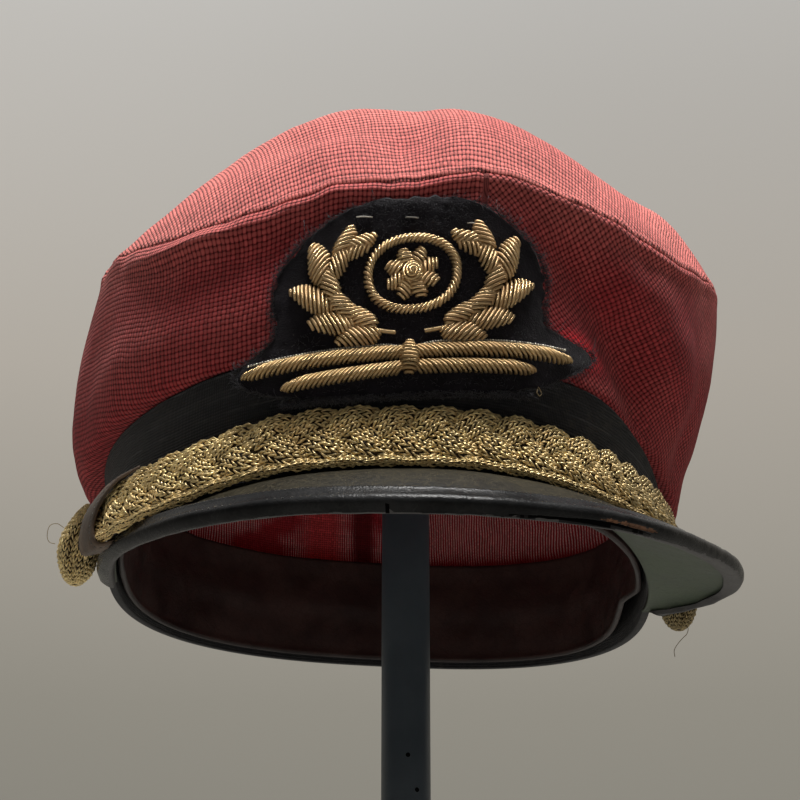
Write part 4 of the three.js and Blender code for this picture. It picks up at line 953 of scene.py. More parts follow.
lip_arc = np.concatenate([[0], np.cumsum(np.hypot(*np.diff(np.vstack([lip, lip[:1]]), axis=0).T))])


def tear(at, where, row):
    """Over 0 in the torn strip, and in the slit that opens under it. Both taper to ragged ends."""
    t = np.clip((where - 0.594) / 0.072, 0, 1)
    torn = 1.15 * t ** 0.3 * (1 - t) ** 0.55 - np.abs(row - 8.45 - 0.35 * t) + 0.30 * vnoise(at, 1.5, 54) + 0.28 * vnoise(at, 4.5, 55) - 0.12
    torn = np.where((t > 0) & (t < 1), torn, -1.0)
    u = np.clip(np.abs(where - 0.588) / 0.061, 0, 1)
    slit = 0.80 * np.sqrt(1 - u) - np.abs(row - 10.0 - 0.2 * np.sin(where * 60)) + 0.10 * vnoise(at, 1.8, 56)
    slit = np.where(u < 1, slit, -1.0)
    cut = np.where((np.abs(where - 0.452) < 0.0018) & (row > 7.6) & (row < 11.2), 1.0, -1.0)
    return torn, np.maximum(slit, cut)


def binding_points():
    pts = edge[:, None] + d_edge[:, None] * (lip[None, :, 0] * b_share[:, None])[..., None] + n_edge[:, None] * lip[None, :, 1][..., None]
    mid = edge - 0.9 * n_edge
    dirs = unit(pts - mid[:, None])
    lump = 0.10 * vnoise(pts, 7, 51) + 0.07 * vnoise(pts, 2.6, 52)
    outside = (lip_row < 16.5)[None, :]
    torn, slit = tear(pts, (run / run[-1])[:, None], lip_row[None, :])
    lower = np.exp(-((((run / run[-1])[:, None] - 0.588) / 0.06) ** 4)) * np.exp(-(((lip_row[None, :] - 11.1) / 0.8) ** 2))
    return pts + dirs * (lump * outside + 0.3 * lower - 0.9 * np.clip(slit * 2.5 + 0.3, 0, 1) - 0.4 * np.clip(torn * 2.0 + 0.2, 0, 1))[..., None]


pts = binding_points()
ns, npt = pts.shape[:2]
I, J = np.meshgrid(np.arange(ns - 1), np.arange(npt), indexing="ij")
I, J = I.ravel(), J.ravel()
K = (J + 1) % npt
q = np.stack([I * npt + J, I * npt + K, (I + 1) * npt + K, (I + 1) * npt + J], -1)
quv = np.stack([np.stack([run[I], lip_arc[J]], -1), np.stack([run[I], lip_arc[J + 1]], -1), np.stack([run[I + 1], lip_arc[J + 1]], -1), np.stack([run[I + 1], lip_arc[J]], -1)], 1)
c = pts.reshape(-1, 3)
n = np.cross(c[q[:, 1]] - c[q[:, 0]], c[q[:, 3]] - c[q[:, 0]])
mid = edge - 0.9 * n_edge
if (n * (c[q[:, 0]] - mid[I])).sum() < 0:
    q, quv = q[:, ::-1], quv[:, ::-1]
where = run / run[-1]
part = Part()
f_mid = c[q].mean(1)
torn, slit = tear(f_mid, 0.5 * (where[I] + where[I + 1]), lip_row[J] + 0.5 / LIP_FINE)
part.add(c, q, quv, 0)
# the underside of the roll takes the lighter copy of the binding leather: painted light
part.m[-1][(lip_row[J] + 0.5 * vnoise(f_mid, 3.0, 57) > 10.7) & (lip_row[J] < 15.5)] = 4
part.m[-1][torn > 0] = 1
# the slit and the cut are painted near-black as the shade inside them
part.m[-1][slit > 0] = 3
flat_fan = lambda at, rev: np.array([[at + 0, at + k, at + k + 1][:: -1 if rev else 1] for k in range(1, npt - 1)])
for at, rev in ((0, False), ((ns - 1) * npt, True)):
    t = flat_fan(at, rev)
    part.f.append(t)
    part.uv.append(np.zeros((len(t) * 3, 2)))
    part.m.append(np.zeros(len(t), int))
# two rows of tiny stitches along the top edge of the roll
for inward, lift_by, pitch in ((-5.5, 1.50, 1.5), (-1.2, 1.44, 2.3)):
    at = np.arange(9, run[-1] - 9, pitch)
    at = at + 0.15 * rng.standard_normal(len(at))
    at = at[vnoise(np.stack([at, 0 * at, 0 * at], -1), 7, 58) > -0.05]
    half = 0.40
    path = []
    for o in (-half, 0, half):
        x = at + o
        f = lambda arr: np.stack([np.interp(x, run, arr[:, i]) for i in range(3)], -1)
        sh = np.interp(x, run, b_share)
        path.append(f(edge) + f(d_edge) * (inward * sh)[:, None] + f(n_edge) * (lift_by + (0.10 if o == 0 else -0.12)))
    nrm = np.stack([np.interp(at, run, n_edge[:, i]) for i in range(3)], -1)
    tubes(part, np.stack(path, 1), 0.15, nrm, 5, 0.8, 2, taper=[0.7, 1, 0.7])
binding = part.make("peak_binding_roll", [BINDING, TORN, DIM_THREAD, SLIT_SHADE, BINDING_UNDER_LIT], ["peak_binding"])

# ---------------------------------------------------------------- braid: three knitted cords, plaited
B_FROM, B_TO, PLAIT = -72.0, 88.0, 33.0
dense = np.linspace(B_FROM, B_TO, 1600)
b_rise = lambda d: column(BRAID_RISE[:, 0], BRAID_RISE[:, 1], d)
b_part = lambda d: column(BRAID_RISE[:, 0], BRAID_RISE[:, 2], d)
b_run = arc_along(around(dense, 7.0, 13 + b_rise(dense)), 0)
B_LEN = float(b_run[-1])
WIDE, DEEP, STRAND_W, STRAND_T = 4.6, 0.9, 4.7, 1.65
FACE = np.array([-0.290, 0.957])
OUTW = np.array([0.957, 0.290])


def braid_at(s, h, d):
    deg = np.interp(s, b_run, dense)
    # drawn to a narrow neck behind the left keeper
    t = np.clip((-54.3 - deg) / 3.6, 0, 1)
    k = b_part(deg) * (1 - 0.6 * t * t * (3 - 2 * t))
    out = 7.05 - 2.2 * (1 - k) + (h * FACE[0] + d * OUTW[0]) * k
    z = 11.5 + b_rise(deg) + (h * FACE[1] + d * OUTW[1]) * k
    return around(deg, out, z)


def strand_at(phase, s, y, n):
    th = TAU * s / PLAIT + phase
    h, dep, slope = WIDE * np.sin(th), DEEP * np.sin(2 * th), WIDE * TAU / PLAIT * np.cos(th)
    l = np.sqrt(1 + slope * slope)
    return braid_at(np.clip(s - slope / l * y, 0, B_LEN), h + y / l, dep + n)


part_b = []
for k in range(3):
    phase = TAU * k / 3 + 0.4
    part = Part()
    s = np.linspace(0, B_LEN, 330)
    a = np.linspace(0, TAU, 22, endpoint=False)
    S, A = np.meshgrid(s, a, indexing="ij")
    core = strand_at(phase, S, (STRAND_W - 0.35) * np.sin(A), (STRAND_T - 0.35) * np.cos(A))
    ns, npt = core.shape[:2]
    I, J = np.meshgrid(np.arange(ns - 1), np.arange(npt), indexing="ij")
    I, J = I.ravel(), J.ravel()
    K = (J + 1) % npt
    q = np.stack([I * npt + J, I * npt + K, (I + 1) * npt + K, (I + 1) * npt + J], -1)
    c = core.reshape(-1, 3)
    mid = core.mean(1)
    nn = np.cross(c[q[:, 1]] - c[q[:, 0]], c[q[:, 3]] - c[q[:, 0]])
    if (nn * (c[q[:, 0]] - mid[I])).sum() < 0:
        q = q[:, ::-1]
    part.add(c, q, None, 1)
    for at, rev in ((0, False), ((ns - 1) * npt, True)):
        t = np.array([[at, at + i, at + i + 1][:: -1 if rev else 1] for i in range(1, npt - 1)])
        part.f.append(t)
        part.uv.append(np.zeros((len(t) * 3, 2)))
        part.m.append(np.ones(len(t), int))
    # knitted face: columns of V stitches, left out where another strand lies over them
    run_k = np.concatenate([[0], np.cumsum(np.linalg.norm(np.diff(strand_at(phase, s, 0 * s, 0 * s), axis=0), axis=-1))])
    pitch, cols = 1.62, 6
    rows = np.arange(0.6, run_k[-1] - 1.6, pitch)
    # equal steps of length round the flattened section
    fine = np.linspace(-math.radians(112), math.radians(112), 400)
    per = np.concatenate([[0], np.cumsum(np.hypot(np.diff(STRAND_W * np.sin(fine)), np.diff(STRAND_T * np.cos(fine))))])
    wide = per[-1] / cols
    R, C, SGN = np.meshgrid(rows, np.arange(cols), np.array([-1, 1]), indexing="ij")
    R, C, SGN = R.ravel(), C.ravel(), SGN.ravel()
    R = R + 0.16 * rng.standard_normal(len(R))
    ang = np.interp((C + 0.5) * wide, per, fine)
    s_mid = np.interp(R + 0.6, run_k, s)
    th = TAU * s_mid / PLAIT + phase
    slope = WIDE * TAU / PLAIT * np.cos(th)
    h_mid = WIDE * np.sin(th) + STRAND_W * np.sin(ang) / np.sqrt(1 + slope * slope)
    s_at = s_mid - slope / np.sqrt(1 + slope * slope) * STRAND_W * np.sin(ang)
    d_mid = DEEP * np.sin(2 * th) + STRAND_T * np.cos(ang)
    shown = np.ones(len(R), bool)
    for other in (1, 2):
        ot = TAU * s_at / PLAIT + phase + TAU * other / 3
        osl = np.sqrt(1 + (WIDE * TAU / PLAIT * np.cos(ot)) ** 2)
        shown &= ((h_mid - WIDE * np.sin(ot)) / osl / (STRAND_W - 0.3)) ** 2 + ((d_mid - DEEP * np.sin(2 * ot)) / (STRAND_T - 0.3)) ** 2 > 1
    R, C, SGN = R[shown], C[shown], SGN[shown]
    jit = rng.standard_normal((5, len(R)))
    path = []
    for f, bulge in ((0.0, -0.10), (0.5, 0.26), (1.0, -0.08)):
        along = np.interp(R + f * (2.0 + 0.12 * jit[4]) + 0.06 * jit[0], run_k, s)
        ang = np.interp(np.clip((C + 0.5) * wide + SGN * (0.08 + 0.58 * f) * wide * 0.74 + 0.07 * jit[1] + 0.06 * jit[3] * f, 0, per[-1]), per, fine)
        lift = bulge + 0.07 * jit[3]
        path.append(strand_at(phase, along, (STRAND_W + lift) * np.sin(ang), (STRAND_T + lift) * np.cos(ang)))
    path = np.stack(path, 1)
    axis = strand_at(phase, np.interp(R + 0.6, run_k, s), 0 * R, 0 * R)
    tubes(part, path, 0.36 * (1 + 0.10 * jit[2]), unit(path.mean(1) - axis), 5, 0.9, 0, taper=[0.6, 1.0, 0.6])
    part_b.append(part.make("braid_strand_%d" % (k + 1), [GOLD_BRAID, GOLD_CORE_SHADED], ["braid"]))

# a chain-stitched cord along the lower edge of the plait
part = Part()
s = np.linspace(0, B_LEN, 500)


def cord_at(s, ang, r):
    sway = 0.28 * np.sin(TAU * 3 * s / PLAIT + 0.6)
    return braid_at(np.clip(s, 0, B_LEN), -8.5 + sway + r * 1.15 * np.sin(ang), 0.95 + r * np.cos(ang))


S, A = np.meshgrid(s, np.linspace(0, TAU, 12, endpoint=False), indexing="ij")
core = cord_at(S, A, 0.66)
ns, npt = core.shape[:2]
I, J = (x.ravel() for x in np.meshgrid(np.arange(ns - 1), np.arange(npt), indexing="ij"))
K = (J + 1) % npt
q = np.stack([I * npt + J, I * npt + K, (I + 1) * npt + K, (I + 1) * npt + J], -1)
c = core.reshape(-1, 3)
nn = np.cross(c[q[:, 1]] - c[q[:, 0]], c[q[:, 3]] - c[q[:, 0]])
if (nn * (c[q[:, 0]] - core.mean(1)[I])).sum() < 0:
    q = q[:, ::-1]
part.add(c, q, None, 1)
for at, rev in ((0, False), ((ns - 1) * npt, True)):
    t = np.array([[at, at + i, at + i + 1][:: -1 if rev else 1] for i in range(1, npt - 1)])
    part.f.append(t)
    part.uv.append(np.zeros((len(t) * 3, 2)))
    part.m.append(np.ones(len(t), int))
R, C, SGN = (x.ravel() for x in np.meshgrid(np.arange(0.8, B_LEN - 3, 1.62), np.array([-1.9, -0.7, 0.5]), np.array([-1, 1]), indexing="ij"))
jit = rng.standard_normal((4, len(R)))
path = np.stack([cord_at(R + f * 2.0 + 0.08 * jit[0], C + SGN * (0.10 + 0.42 * f) + 0.05 * jit[1], 0.84 + b + 0.05 * jit[2]) for f, b in ((0.0, -0.12), (0.5, 0.16), (1.0, -0.08))], 1)
tubes(part, path, 0.26 * (1 + 0.08 * jit[3]), unit(path.mean(1) - cord_at(R + 0.7, C, 0.0)), 5, 0.9, 0, taper=[0.6, 1.0, 0.6])
part.make("braid_edge_cord", [GOLD_BRAID, GOLD_CORE_SHADED], ["braid"])

# ---------------------------------------------------------------- end knobs: knitted toggles with a fold down the middle
for name, node, deg, out, z, wide, tall, way in (
    ("braid_knob_left_knit", "braid_knob_left", -78, 8.6, 4.2, 6.2, 12.6, 1.0),
    ("braid_knob_right_knit", "braid_knob_right", 94, 9.4, 6.0, 6.4, 12.8, -1.0),
):
    centre = around(np.array(deg), out, z)
    part = Part()

    def knob_at(theta, t, lift, centre=centre, wide=wide, tall=tall, way=way):
        """theta round the knob from its front, t from -1 at the foot to 1 at the top: a drop with a fold that curls round it."""
        r = np.sqrt(np.clip(1 - np.abs(t) ** 2.2, 0, 1)) * np.where(t > -0.2, 1 - 0.46 * ((np.maximum(t, -0.2) + 0.2) / 1.2) ** 1.3, 1.0)
        fold = way * (-16 + 66 * np.clip(t + 0.1, 0, 1) + 22 * np.clip(-0.25 - t, 0, 1))
        off = turn(np.degrees(theta), fold)
        cut = 1 - 0.30 * np.exp(-((off / 11) ** 2)) - 0.06 * np.clip(-way * off / 60, 0, 1)
        rr = (wide * cut + lift) * r
        x = centre[0] + rr * np.sin(theta) + way * 1.9 * np.clip(t, 0, 1) ** 1.4
        return np.stack([x, centre[1] - rr * np.cos(theta), centre[2] + (tall + lift * 0.6) * t], -1)

    TH, T = np.meshgrid(np.linspace(-math.pi, math.pi, 64, endpoint=False), np.sin(np.linspace(-1.5, 1.5, 36)), indexing="ij")
    core = knob_at(TH, T, -0.35)
    nn_, nj = core.shape[:2]
    I, J = np.meshgrid(np.arange(nn_), np.arange(nj - 1), indexing="ij")
    I, J = I.ravel(), J.ravel()
    K = (I + 1) % nn_
    q = np.stack([I * nj + J, K * nj + J, K * nj + J + 1, I * nj + J + 1], -1)
    c = core.reshape(-1, 3)
    ends = knob_at(np.zeros(2), np.array([-1.0, 1.0]), 0.0)
    part.add(np.concatenate([c, ends]), q, None, 1)
    i = np.arange(nn_)
    t = np.concatenate([np.stack([(i + 1) % nn_ * nj, i * nj, np.full(nn_, nn_ * nj)], -1), np.stack([i * nj + nj - 1, (i + 1) % nn_ * nj + nj - 1, np.full(nn_, nn_ * nj + 1)], -1)])
    part.f.append(t)
    part.uv.append(np.zeros((len(t) * 3, 2)))
    part.m.append(np.ones(len(t), int))
    cols, rows = 25, 20
    R, C, SGN = np.meshgrid((np.arange(rows) + 0.5) / rows, np.arange(cols), np.array([-1, 1]), indexing="ij")
    R, C, SGN = R.ravel(), C.ravel(), SGN.ravel()
    jit = rng.standard_normal((4, len(R)))
    path = []
    for f, bulge in ((0.0, -0.12), (0.5, 0.20), (1.0, -0.08)):
        t = np.sin(((R * 2 - 1) * 0.95 + (f - 0.5) * 0.10 + 0.010 * jit[0]) * 1.5)
        theta = ((C + 0.5) + SGN * (0.06 + 0.40 * f) + 0.06 * jit[1]) * TAU / cols - math.pi + 0.45 * t
        path.append(knob_at(theta, t, bulge + 0.05 * jit[3]))
    path = np.stack(path, 1)
    tubes(part, path, 0.30 * (1 + 0.10 * jit[2]) * (0.5 + 0.5 * np.sqrt(np.cos(((R * 2 - 1) * 0.95) * 1.5))), unit(path.mean(1) - centre), 5, 0.9, 0, taper=[0.6, 1.0, 0.6])
    part.make(name, [GOLD_KNOB, GOLD_CORE_SHADED], [node])

# ---------------------------------------------------------------- keepers: leather straps over the braid
ring6 = BRAID_SECTION[1:7]
fine_t = np.linspace(0, 5, 44)
kp = np.stack([column(np.arange(6), ring6[:, i], fine_t) for i in range(2)], -1)
mid_b = np.array([5.6, 13.4])
for name, node, d0, d1, lean in (("keeper_left_strap", "keeper_left", -55.5, -47.4, 7.0), ("keeper_right_strap", "keeper_right", 66, 74, 0.0)):
    degs = np.linspace(d0, d1, 26)
    # the strap leans forward towards its upper end
    skew = lean * (np.clip((fine_t - 2.2) / 2.8, 0, 1) ** 1.6 + 0.34 * np.exp(-((fine_t / 1.3) ** 2)))
    part = Part()
    O, N_ = [], []
    for i, d in enumerate(degs):
        e = min(i, len(degs) - 1 - i)
        puffed = 1.25 + 0.55 * min(1, e / 3) ** 0.6 - 0.2 * math.exp(-(((e - 3.2) / 1.2) ** 2))
        at = d + skew
        k = b_part(at)
        for grow, store in ((puffed, O), (0.6, N_)):
            g = mid_b + 1.06 * (kp - mid_b) + unit(kp - mid_b) * grow
            store.append(around(at, mix(5.6 - 1.8 * (1 - k), g[:, 0], k) + 0.6, mix(13.4, g[:, 1], k) + b_rise(at) - 1.8))
    O, N_ = np.stack(O), np.stack(N_)
    O = O + 0.18 * vnoise(O, 5, 61)[..., None] * unit(O - O.mean(1, keepdims=True))
    uvk = np.stack([arc_along(O, 0), arc_along(O, 1)], -1)
    wall(part, O, N_, False, uvk)
    for col in (3, len(degs) - 4):
        line = O[col]
        step = arc_along(line, 0)
        at = np.arange(2, step[-1] - 2, 1.7)
        segs_ = []
        for o in (-0.5, 0, 0.5):
            segs_.append(np.stack([np.interp(at + o, step, line[:, i]) for i in range(3)], -1))
        nn = unit(segs_[1] - O.mean((0, 1)))
        segs_[1] = segs_[1] + nn * 0.12
        tubes(part, np.stack(segs_, 1), 0.2, nn, 5, 0.8, 1, taper=[0.6, 1, 0.6])
    part.make(name, [KEEPER, GREY_THREAD], [node])


# ---------------------------------------------------------------- felt patch and its bullion
def side_out_at(deg, z):
    lo, hi = np.full(deg.shape, 0.05), np.ones(deg.shape)
    for _ in range(24):
        m = (lo + hi) / 2
        under = side_profile(deg, m)[1] < z
        lo, hi = np.where(under, m, lo), np.where(under, hi, m)
    return side_profile(deg, (lo + hi) / 2)[0]


def patch_point(across, level, lift):
    across, level, lift = np.broadcast_arrays(np.asarray(across, float), np.asarray(level, float), np.asarray(lift, float))
    z = level + across * math.tan(math.radians(6.5))
    deg = 3 + np.degrees(across / 106)
    head = band_top(deg)
    behind = side_out_at(deg, np.maximum(z, head + 3))
    behind = np.where(z > head + 3, behind, np.maximum(band_out(head), behind))
    off = column(PATCH_ROWS[:, 0], PATCH_ROWS[:, 3], level)
    return around(deg, behind + 0.7 + off + lift, z)


def patch_normal(across, level):
    d = 0.6
    a = patch_point(across + d, level, 0) - patch_point(across - d, level, 0)
    b = patch_point(across, level + d, 0) - patch_point(across, level - d, 0)
    return unit(np.cross(a, b))


rows_z = np.concatenate([np.linspace(22.4, 24.5, 8), np.linspace(25, 78, 74), np.linspace(78.5, 80, 6)])


def patch_reach(level, sign):
    return np.where(sign < 0, column(PATCH_ROWS[:, 0], PATCH_ROWS[:, 1], level), column(PATCH_ROWS[:, 0], PATCH_ROWS[:, 2], level))


cols = np.concatenate([np.linspace(-1, -0.97, 4), np.linspace(-0.95, 0.95, 92), np.linspace(0.97, 1, 4)])
L, X = np.meshgrid(rows_z, cols, indexing="ij")
fray = 0.7 * vnoise(np.stack([L, np.sign(X) * 40, L * 0], -1), 2.2, 71) + 0.35 * vnoise(np.stack([L, np.sign(X) * 40, L * 0], -1), 0.8, 72)
across = X * patch_reach(L, X) + fray * np.abs(X) ** 6 * np.sign(X)
lev = L + np.where(L < 26, 1.15 * vnoise(np.stack([across, across * 0, across * 0], -1), 2.6, 73) * np.clip((26 - L) / 3, 0, 1), 0) + np.where(L > 77, 0.6 * vnoise(np.stack([across, across * 0, across * 0], -1), 2.0, 74) * np.clip((L - 77) / 3, 0, 1), 0)
front = patch_point(across, lev, 1.8)
lump = 0.22 * vnoise(front, 7, 75) + 0.10 * vnoise(front, 1.6, 76)
n_p = patch_normal(across, lev)
rim = np.clip(np.minimum(1 - np.abs(X), np.minimum((L - 22.4) / 50, (80 - L) / 50)) * 22, 0, 1) ** 0.5
front = front + n_p * (lump - 0.7 * (1 - rim))[..., None]
back = patch_point(across, lev, 0.05)
part = Part()
wall(part, front, back, False, np.stack([across, lev], -1))
# fuzz along the cut edge, and some on the face
n_edge_f = 1500
side_pick = rng.integers(0, 2, n_edge_f) * 2 - 1
lz = rng.uniform(22.6, 79.6, n_edge_f)
hx = patch_reach(lz, side_pick) * side_pick
p0 = patch_point(hx * (1 - 0.02 * rng.random(n_edge_f)), lz, 1.2 + 0.5 * rng.random(n_edge_f))
out2 = np.stack([side_pick * (0.4 + rng.random(n_edge_f)), 1.1 * rng.standard_normal(n_edge_f)], -1)
ln = rng.uniform(0.5, 1.9, n_edge_f)
p1 = patch_point(hx + out2[:, 0] * ln * 0.5, lz + out2[:, 1] * ln * 0.4, 1.4 + 0.8 * rng.random(n_edge_f))
p2 = patch_point(hx + out2[:, 0] * ln * 0.9, lz + out2[:, 1] * ln * 0.9, 1.2 + 1.4 * rng.random(n_edge_f))
tubes(part, np.stack([p0, p1, p2], 1), 0.055, None, 3, 1, 1)
n_bot = 1700
ax = rng.uniform(-34, 34, n_bot)
p0 = patch_point(ax, np.full(n_bot, 23.2), 1.2)
p1 = patch_point(ax + 0.5 * rng.standard_normal(n_bot), 22.6 - rng.random(n_bot), 1.2 + 0.6 * rng.standard_normal(n_bot))
p2 = patch_point(ax + 0.9 * rng.standard_normal(n_bot), 22.2 - 1.6 * rng.random(n_bot), 1.0 + 0.9 * rng.standard_normal(n_bot))
tubes(part, np.stack([p0, p1, p2], 1), 0.055, None, 3, 1, 1)
n_face = 2600
lz = rng.uniform(24, 79, n_face)
ax = rng.uniform(-1, 1, n_face) * patch_reach(lz, 1) * 0.7
tw = rng.uniform(0, TAU, n_face)
ln = rng.uniform(0.4, 1.3, n_face)
p0 = patch_point(ax, lz, 1.75)
p1 = patch_point(ax + np.cos(tw) * ln * 0.5, lz + np.sin(tw) * ln * 0.5, 2.1 + 0.25 * rng.random(n_face))
p2 = patch_point(ax + np.cos(tw) * ln, lz + np.sin(tw) * ln, 1.95 + 0.35 * rng.random(n_face))
tubes(part, np.stack([p0, p1, p2], 1), 0.045, None, 3, 1, 1)
# three basting stitches left near the top edge
for ax0, lz0, half_l, tilt in ((-14.5, 74.4, 2.3, -0.08), (-0.6, 73.4, 1.9, -0.11), (16.6, 71.2, 1.5, -0.11)):
    x = np.linspace(-half_l, half_l, 7)
    lift = 2.0 + 0.34 * np.sqrt(np.clip(1 - (x / half_l) ** 2, 0, 1))
    tubes(part, patch_point(ax0 + x, lz0 + tilt * x, lift), 0.19, None, 6, 1, 2)
patch = part.make("badge_patch_felt", [FELT, FUZZ, WHITE_THREAD], ["badge_patch"])

WIRE = 0.48
LIFT = 1.95


def wires(part, starts, ends, lift0, pad, n=7, radius=WIRE, mat=0, bow=None, tone=None):
    """Bullion wires from starts to ends, (across, level) pairs, arched over a padding."""
    t = np.linspace(0, 1, n)
    a = starts[:, None, :] + (ends - starts)[:, None, :] * t[None, :, None]
    arch = np.sqrt(np.clip(1 - (2 * t - 1) ** 2, 0, 1))[None, :] * np.asarray(pad)[:, None]
    jitter = 0.05 * rng.standard_normal((len(starts), 1))
    p = patch_point(a[..., 0] + jitter, a[..., 1], lift0 + arch)
    nrm = patch_normal(a[:, n // 2, 0], a[:, n // 2, 1])
    tubes(part, p, radius, nrm, 6, 1.0, mat, tone)


def leaf(part, at, heading, long, wide, lift0=LIFT, slant=34, pitch=1.22, mat=0):
    """A laurel leaf filled with slanted wires, with its tip along the heading."""
    e = np.array([math.cos(heading), math.sin(heading)])
    f = np.array([-e[1], e[0]])
    t = np.arange(0.5 * pitch, long - 0.2 * pitch, pitch) / long
    w = wide * np.sin(math.pi * np.clip(t, 0, 1) ** 0.78) ** 0.8 + 0.12
    k = math.tan(math.radians(slant))
    base = np.asarray(at)[None, :] + e[None, :] * (t * long)[:, None]
    starts = base - f[None, :] * w[:, None] - e[None, :] * (k * w)[:, None]
    ends = base + f[None, :] * w[:, None] + e[None, :] * (k * w)[:, None]
    wires(part, starts, ends, lift0, 0.35 + 0.42 * w, mat=mat)


def coil(part, at, r, high, mat=0, lift0=LIFT, turns=None, radius=WIRE):
    turns = turns or r / (1.9 * radius)
    s = np.linspace(0, 1, int(14 * turns) + 8)
    a = TAU * turns * s
    rr = r * (1 - s)
    p = patch_point(at[0] + rr * np.cos(a), at[1] + rr * np.sin(a), lift0 + high * np.sqrt(np.clip(1 - (rr / r) ** 2 * 0.98, 0, 1)))
    nrm = patch_normal(np.full(len(s), at[0]), np.full(len(s), at[1]))
    tubes(part, p[None], radius, nrm[None], 6, 1, mat)


def rope(part, path2, half_w, pad, pitch=1.30, slant=50, mat=0, lift0=LIFT):
    """A bar of slanted wires laid over a round padding, along points (across, level)."""
    seg = np.concatenate([[0], np.cumsum(np.linalg.norm(np.diff(path2, axis=0), axis=-1))])
    at = np.arange(pitch / 2, seg[-1], pitch)
    c = np.stack([np.interp(at, seg, path2[:, i]) for i in range(2)], -1)
    d = np.stack([np.interp(np.minimum(at + 0.3, seg[-1]), seg, path2[:, i]) - np.interp(np.maximum(at - 0.3, 0), seg, path2[:, i]) for i in range(2)], -1)
    d = unit(d)
    f = np.stack([-d[:, 1], d[:, 0]], -1)
    hw = half_w(at / seg[-1]) if callable(half_w) else np.full(len(at), half_w)
    k = math.tan(math.radians(slant))
    wires(part, c - f * hw[:, None] - d * (k * hw)[:, None], c + f * hw[:, None] + d * (k * hw)[:, None], lift0, pad * hw / hw.max(), mat=mat)


part = Part()
CX, CZ, RX, RZ = 0.0, 54.8, 24.2, 15.0
for sgn in (-1, 1):
    ang = np.radians(np.linspace(-80, 48, 60))
    stem = np.stack([CX + sgn * RX * np.cos(ang), CZ + RZ * np.sin(ang)], -1)
    seg = np.concatenate([[0], np.cumsum(np.linalg.norm(np.diff(stem, axis=0), axis=-1))])
    tubes(part, patch_point(stem[:, 0], stem[:, 1], LIFT + 0.2)[None], 0.6, None, 6, 1, 0)
    n_pair = 5
    for i in range(n_pair):
        s0 = seg[-1] * (0.12 + 0.74 * i / (n_pair - 1))
        p = np.array([np.interp(s0, seg, stem[:, j]) for j in range(2)])
        d = np.array([np.interp(s0 + 0.5, seg, stem[:, j]) - np.interp(s0 - 0.5, seg, stem[:, j]) for j in range(2)])
        h = math.atan2(d[1], d[0])
        size = (0.92, 0.97, 1.0, 0.96, 0.76)[i]
        leaf(part, p, h - sgn * 0.50, 13.4 * size, 3.4 * size, LIFT + 0.1, slant=32 * sgn)
        leaf(part, p + d * 1.8, h + sgn * 0.60, 10.6 * size, 2.9 * size, LIFT + 0.3, slant=-32 * sgn)
    d = stem[-1] - stem[-3]
    leaf(part, stem[-1] - 2.5 * unit(d), math.atan2(d[1], d[0]), 8.6, 2.3, LIFT + 0.35, slant=30 * sgn)
wreath = part.make("badge_wreath_bullion", [BULLION], ["badge_wreath"])

# plain rosette in an oval rope
part = Part()
for i in range(8):
    a0 = TAU * (i + 0.5) / 8
    leaf(part, np.array([2.2 * math.cos(a0), 57 + 2.0 * math.sin(a0)]), a0, 6.4, 2.2, LIFT + 0.1, slant=18, pitch=1.15)
coil(part, (0, 57), 3.0, 1.9, 1, LIFT + 0.6)
a = np.linspace(0, TAU, 121)
rope(part, np.stack([12.6 * np.sign(np.cos(a)) * np.abs(np.cos(a)) ** 0.9, 57 + 10.4 * np.sign(np.sin(a)) * np.abs(np.sin(a)) ** 0.9], -1), 1.05, 1.2)
boss = part.make("badge_boss_bullion", [BULLION, BULLION_PALE], ["badge_boss"])

# two padded ropes, one over the other, tied in the middle
part = Part()
s = np.linspace(-1, 1, 160)
fall = np.clip(-s, 0, 1) ** 1.3
upper = np.stack([45.0 * s, 34.2 + 0.5 * np.sin(math.pi * np.abs(s)) - 2.3 * fall], -1)
lower = np.stack([34.0 * s, 29.9 - 3.0 * fall], -1)
for path2 in (lower, upper):
    left, right = path2[s <= 0], path2[s >= 0]
    rope(part, left, lambda t: 1.85 * np.clip(6 * t + 0.3, 0, 1), 1.9, 1.34, 52, 1)
    rope(part, right[::-1], lambda t: 1.85 * np.clip(6 * t + 0.3, 0, 1), 1.9, 1.34, -52, 1)
fine_cord = np.stack([44.0 * s, 36.7 + 0.5 * np.sin(math.pi * np.abs(s)) - 2.3 * fall - 1.1 * np.exp(-((s / 0.1) ** 2))], -1)
seg = np.concatenate([[0], np.cumsum(np.linalg.norm(np.diff(fine_cord, axis=0), axis=-1))])
at = np.arange(0.4, seg[-1], 0.74)
bx, bz = (np.interp(at, seg, fine_cord[:, i]) for i in range(2))
bead_path = np.stack([patch_point(bx + o, bz, LIFT + 0.35) for o in (-0.30, -0.14, 0.14, 0.30)], 1)
tubes(part, bead_path, 0.34, patch_normal(bx, bz), 6, 1, 2, taper=[0.45, 1, 1, 0.45])
# the knot
rope(part, np.stack([np.zeros(30), np.linspace(27.2, 37.0, 30)], -1), lambda t: 2.6 * np.sqrt(np.clip(np.sin(math.pi * np.clip(t, 0.04, 0.96)), 0.1, 1)), 2.3, 1.0, 8, 1, LIFT + 1.3)
bar = part.make("badge_bar_bullion", [BULLION, BULLION_PALE, SILVER], ["badge_bar"])


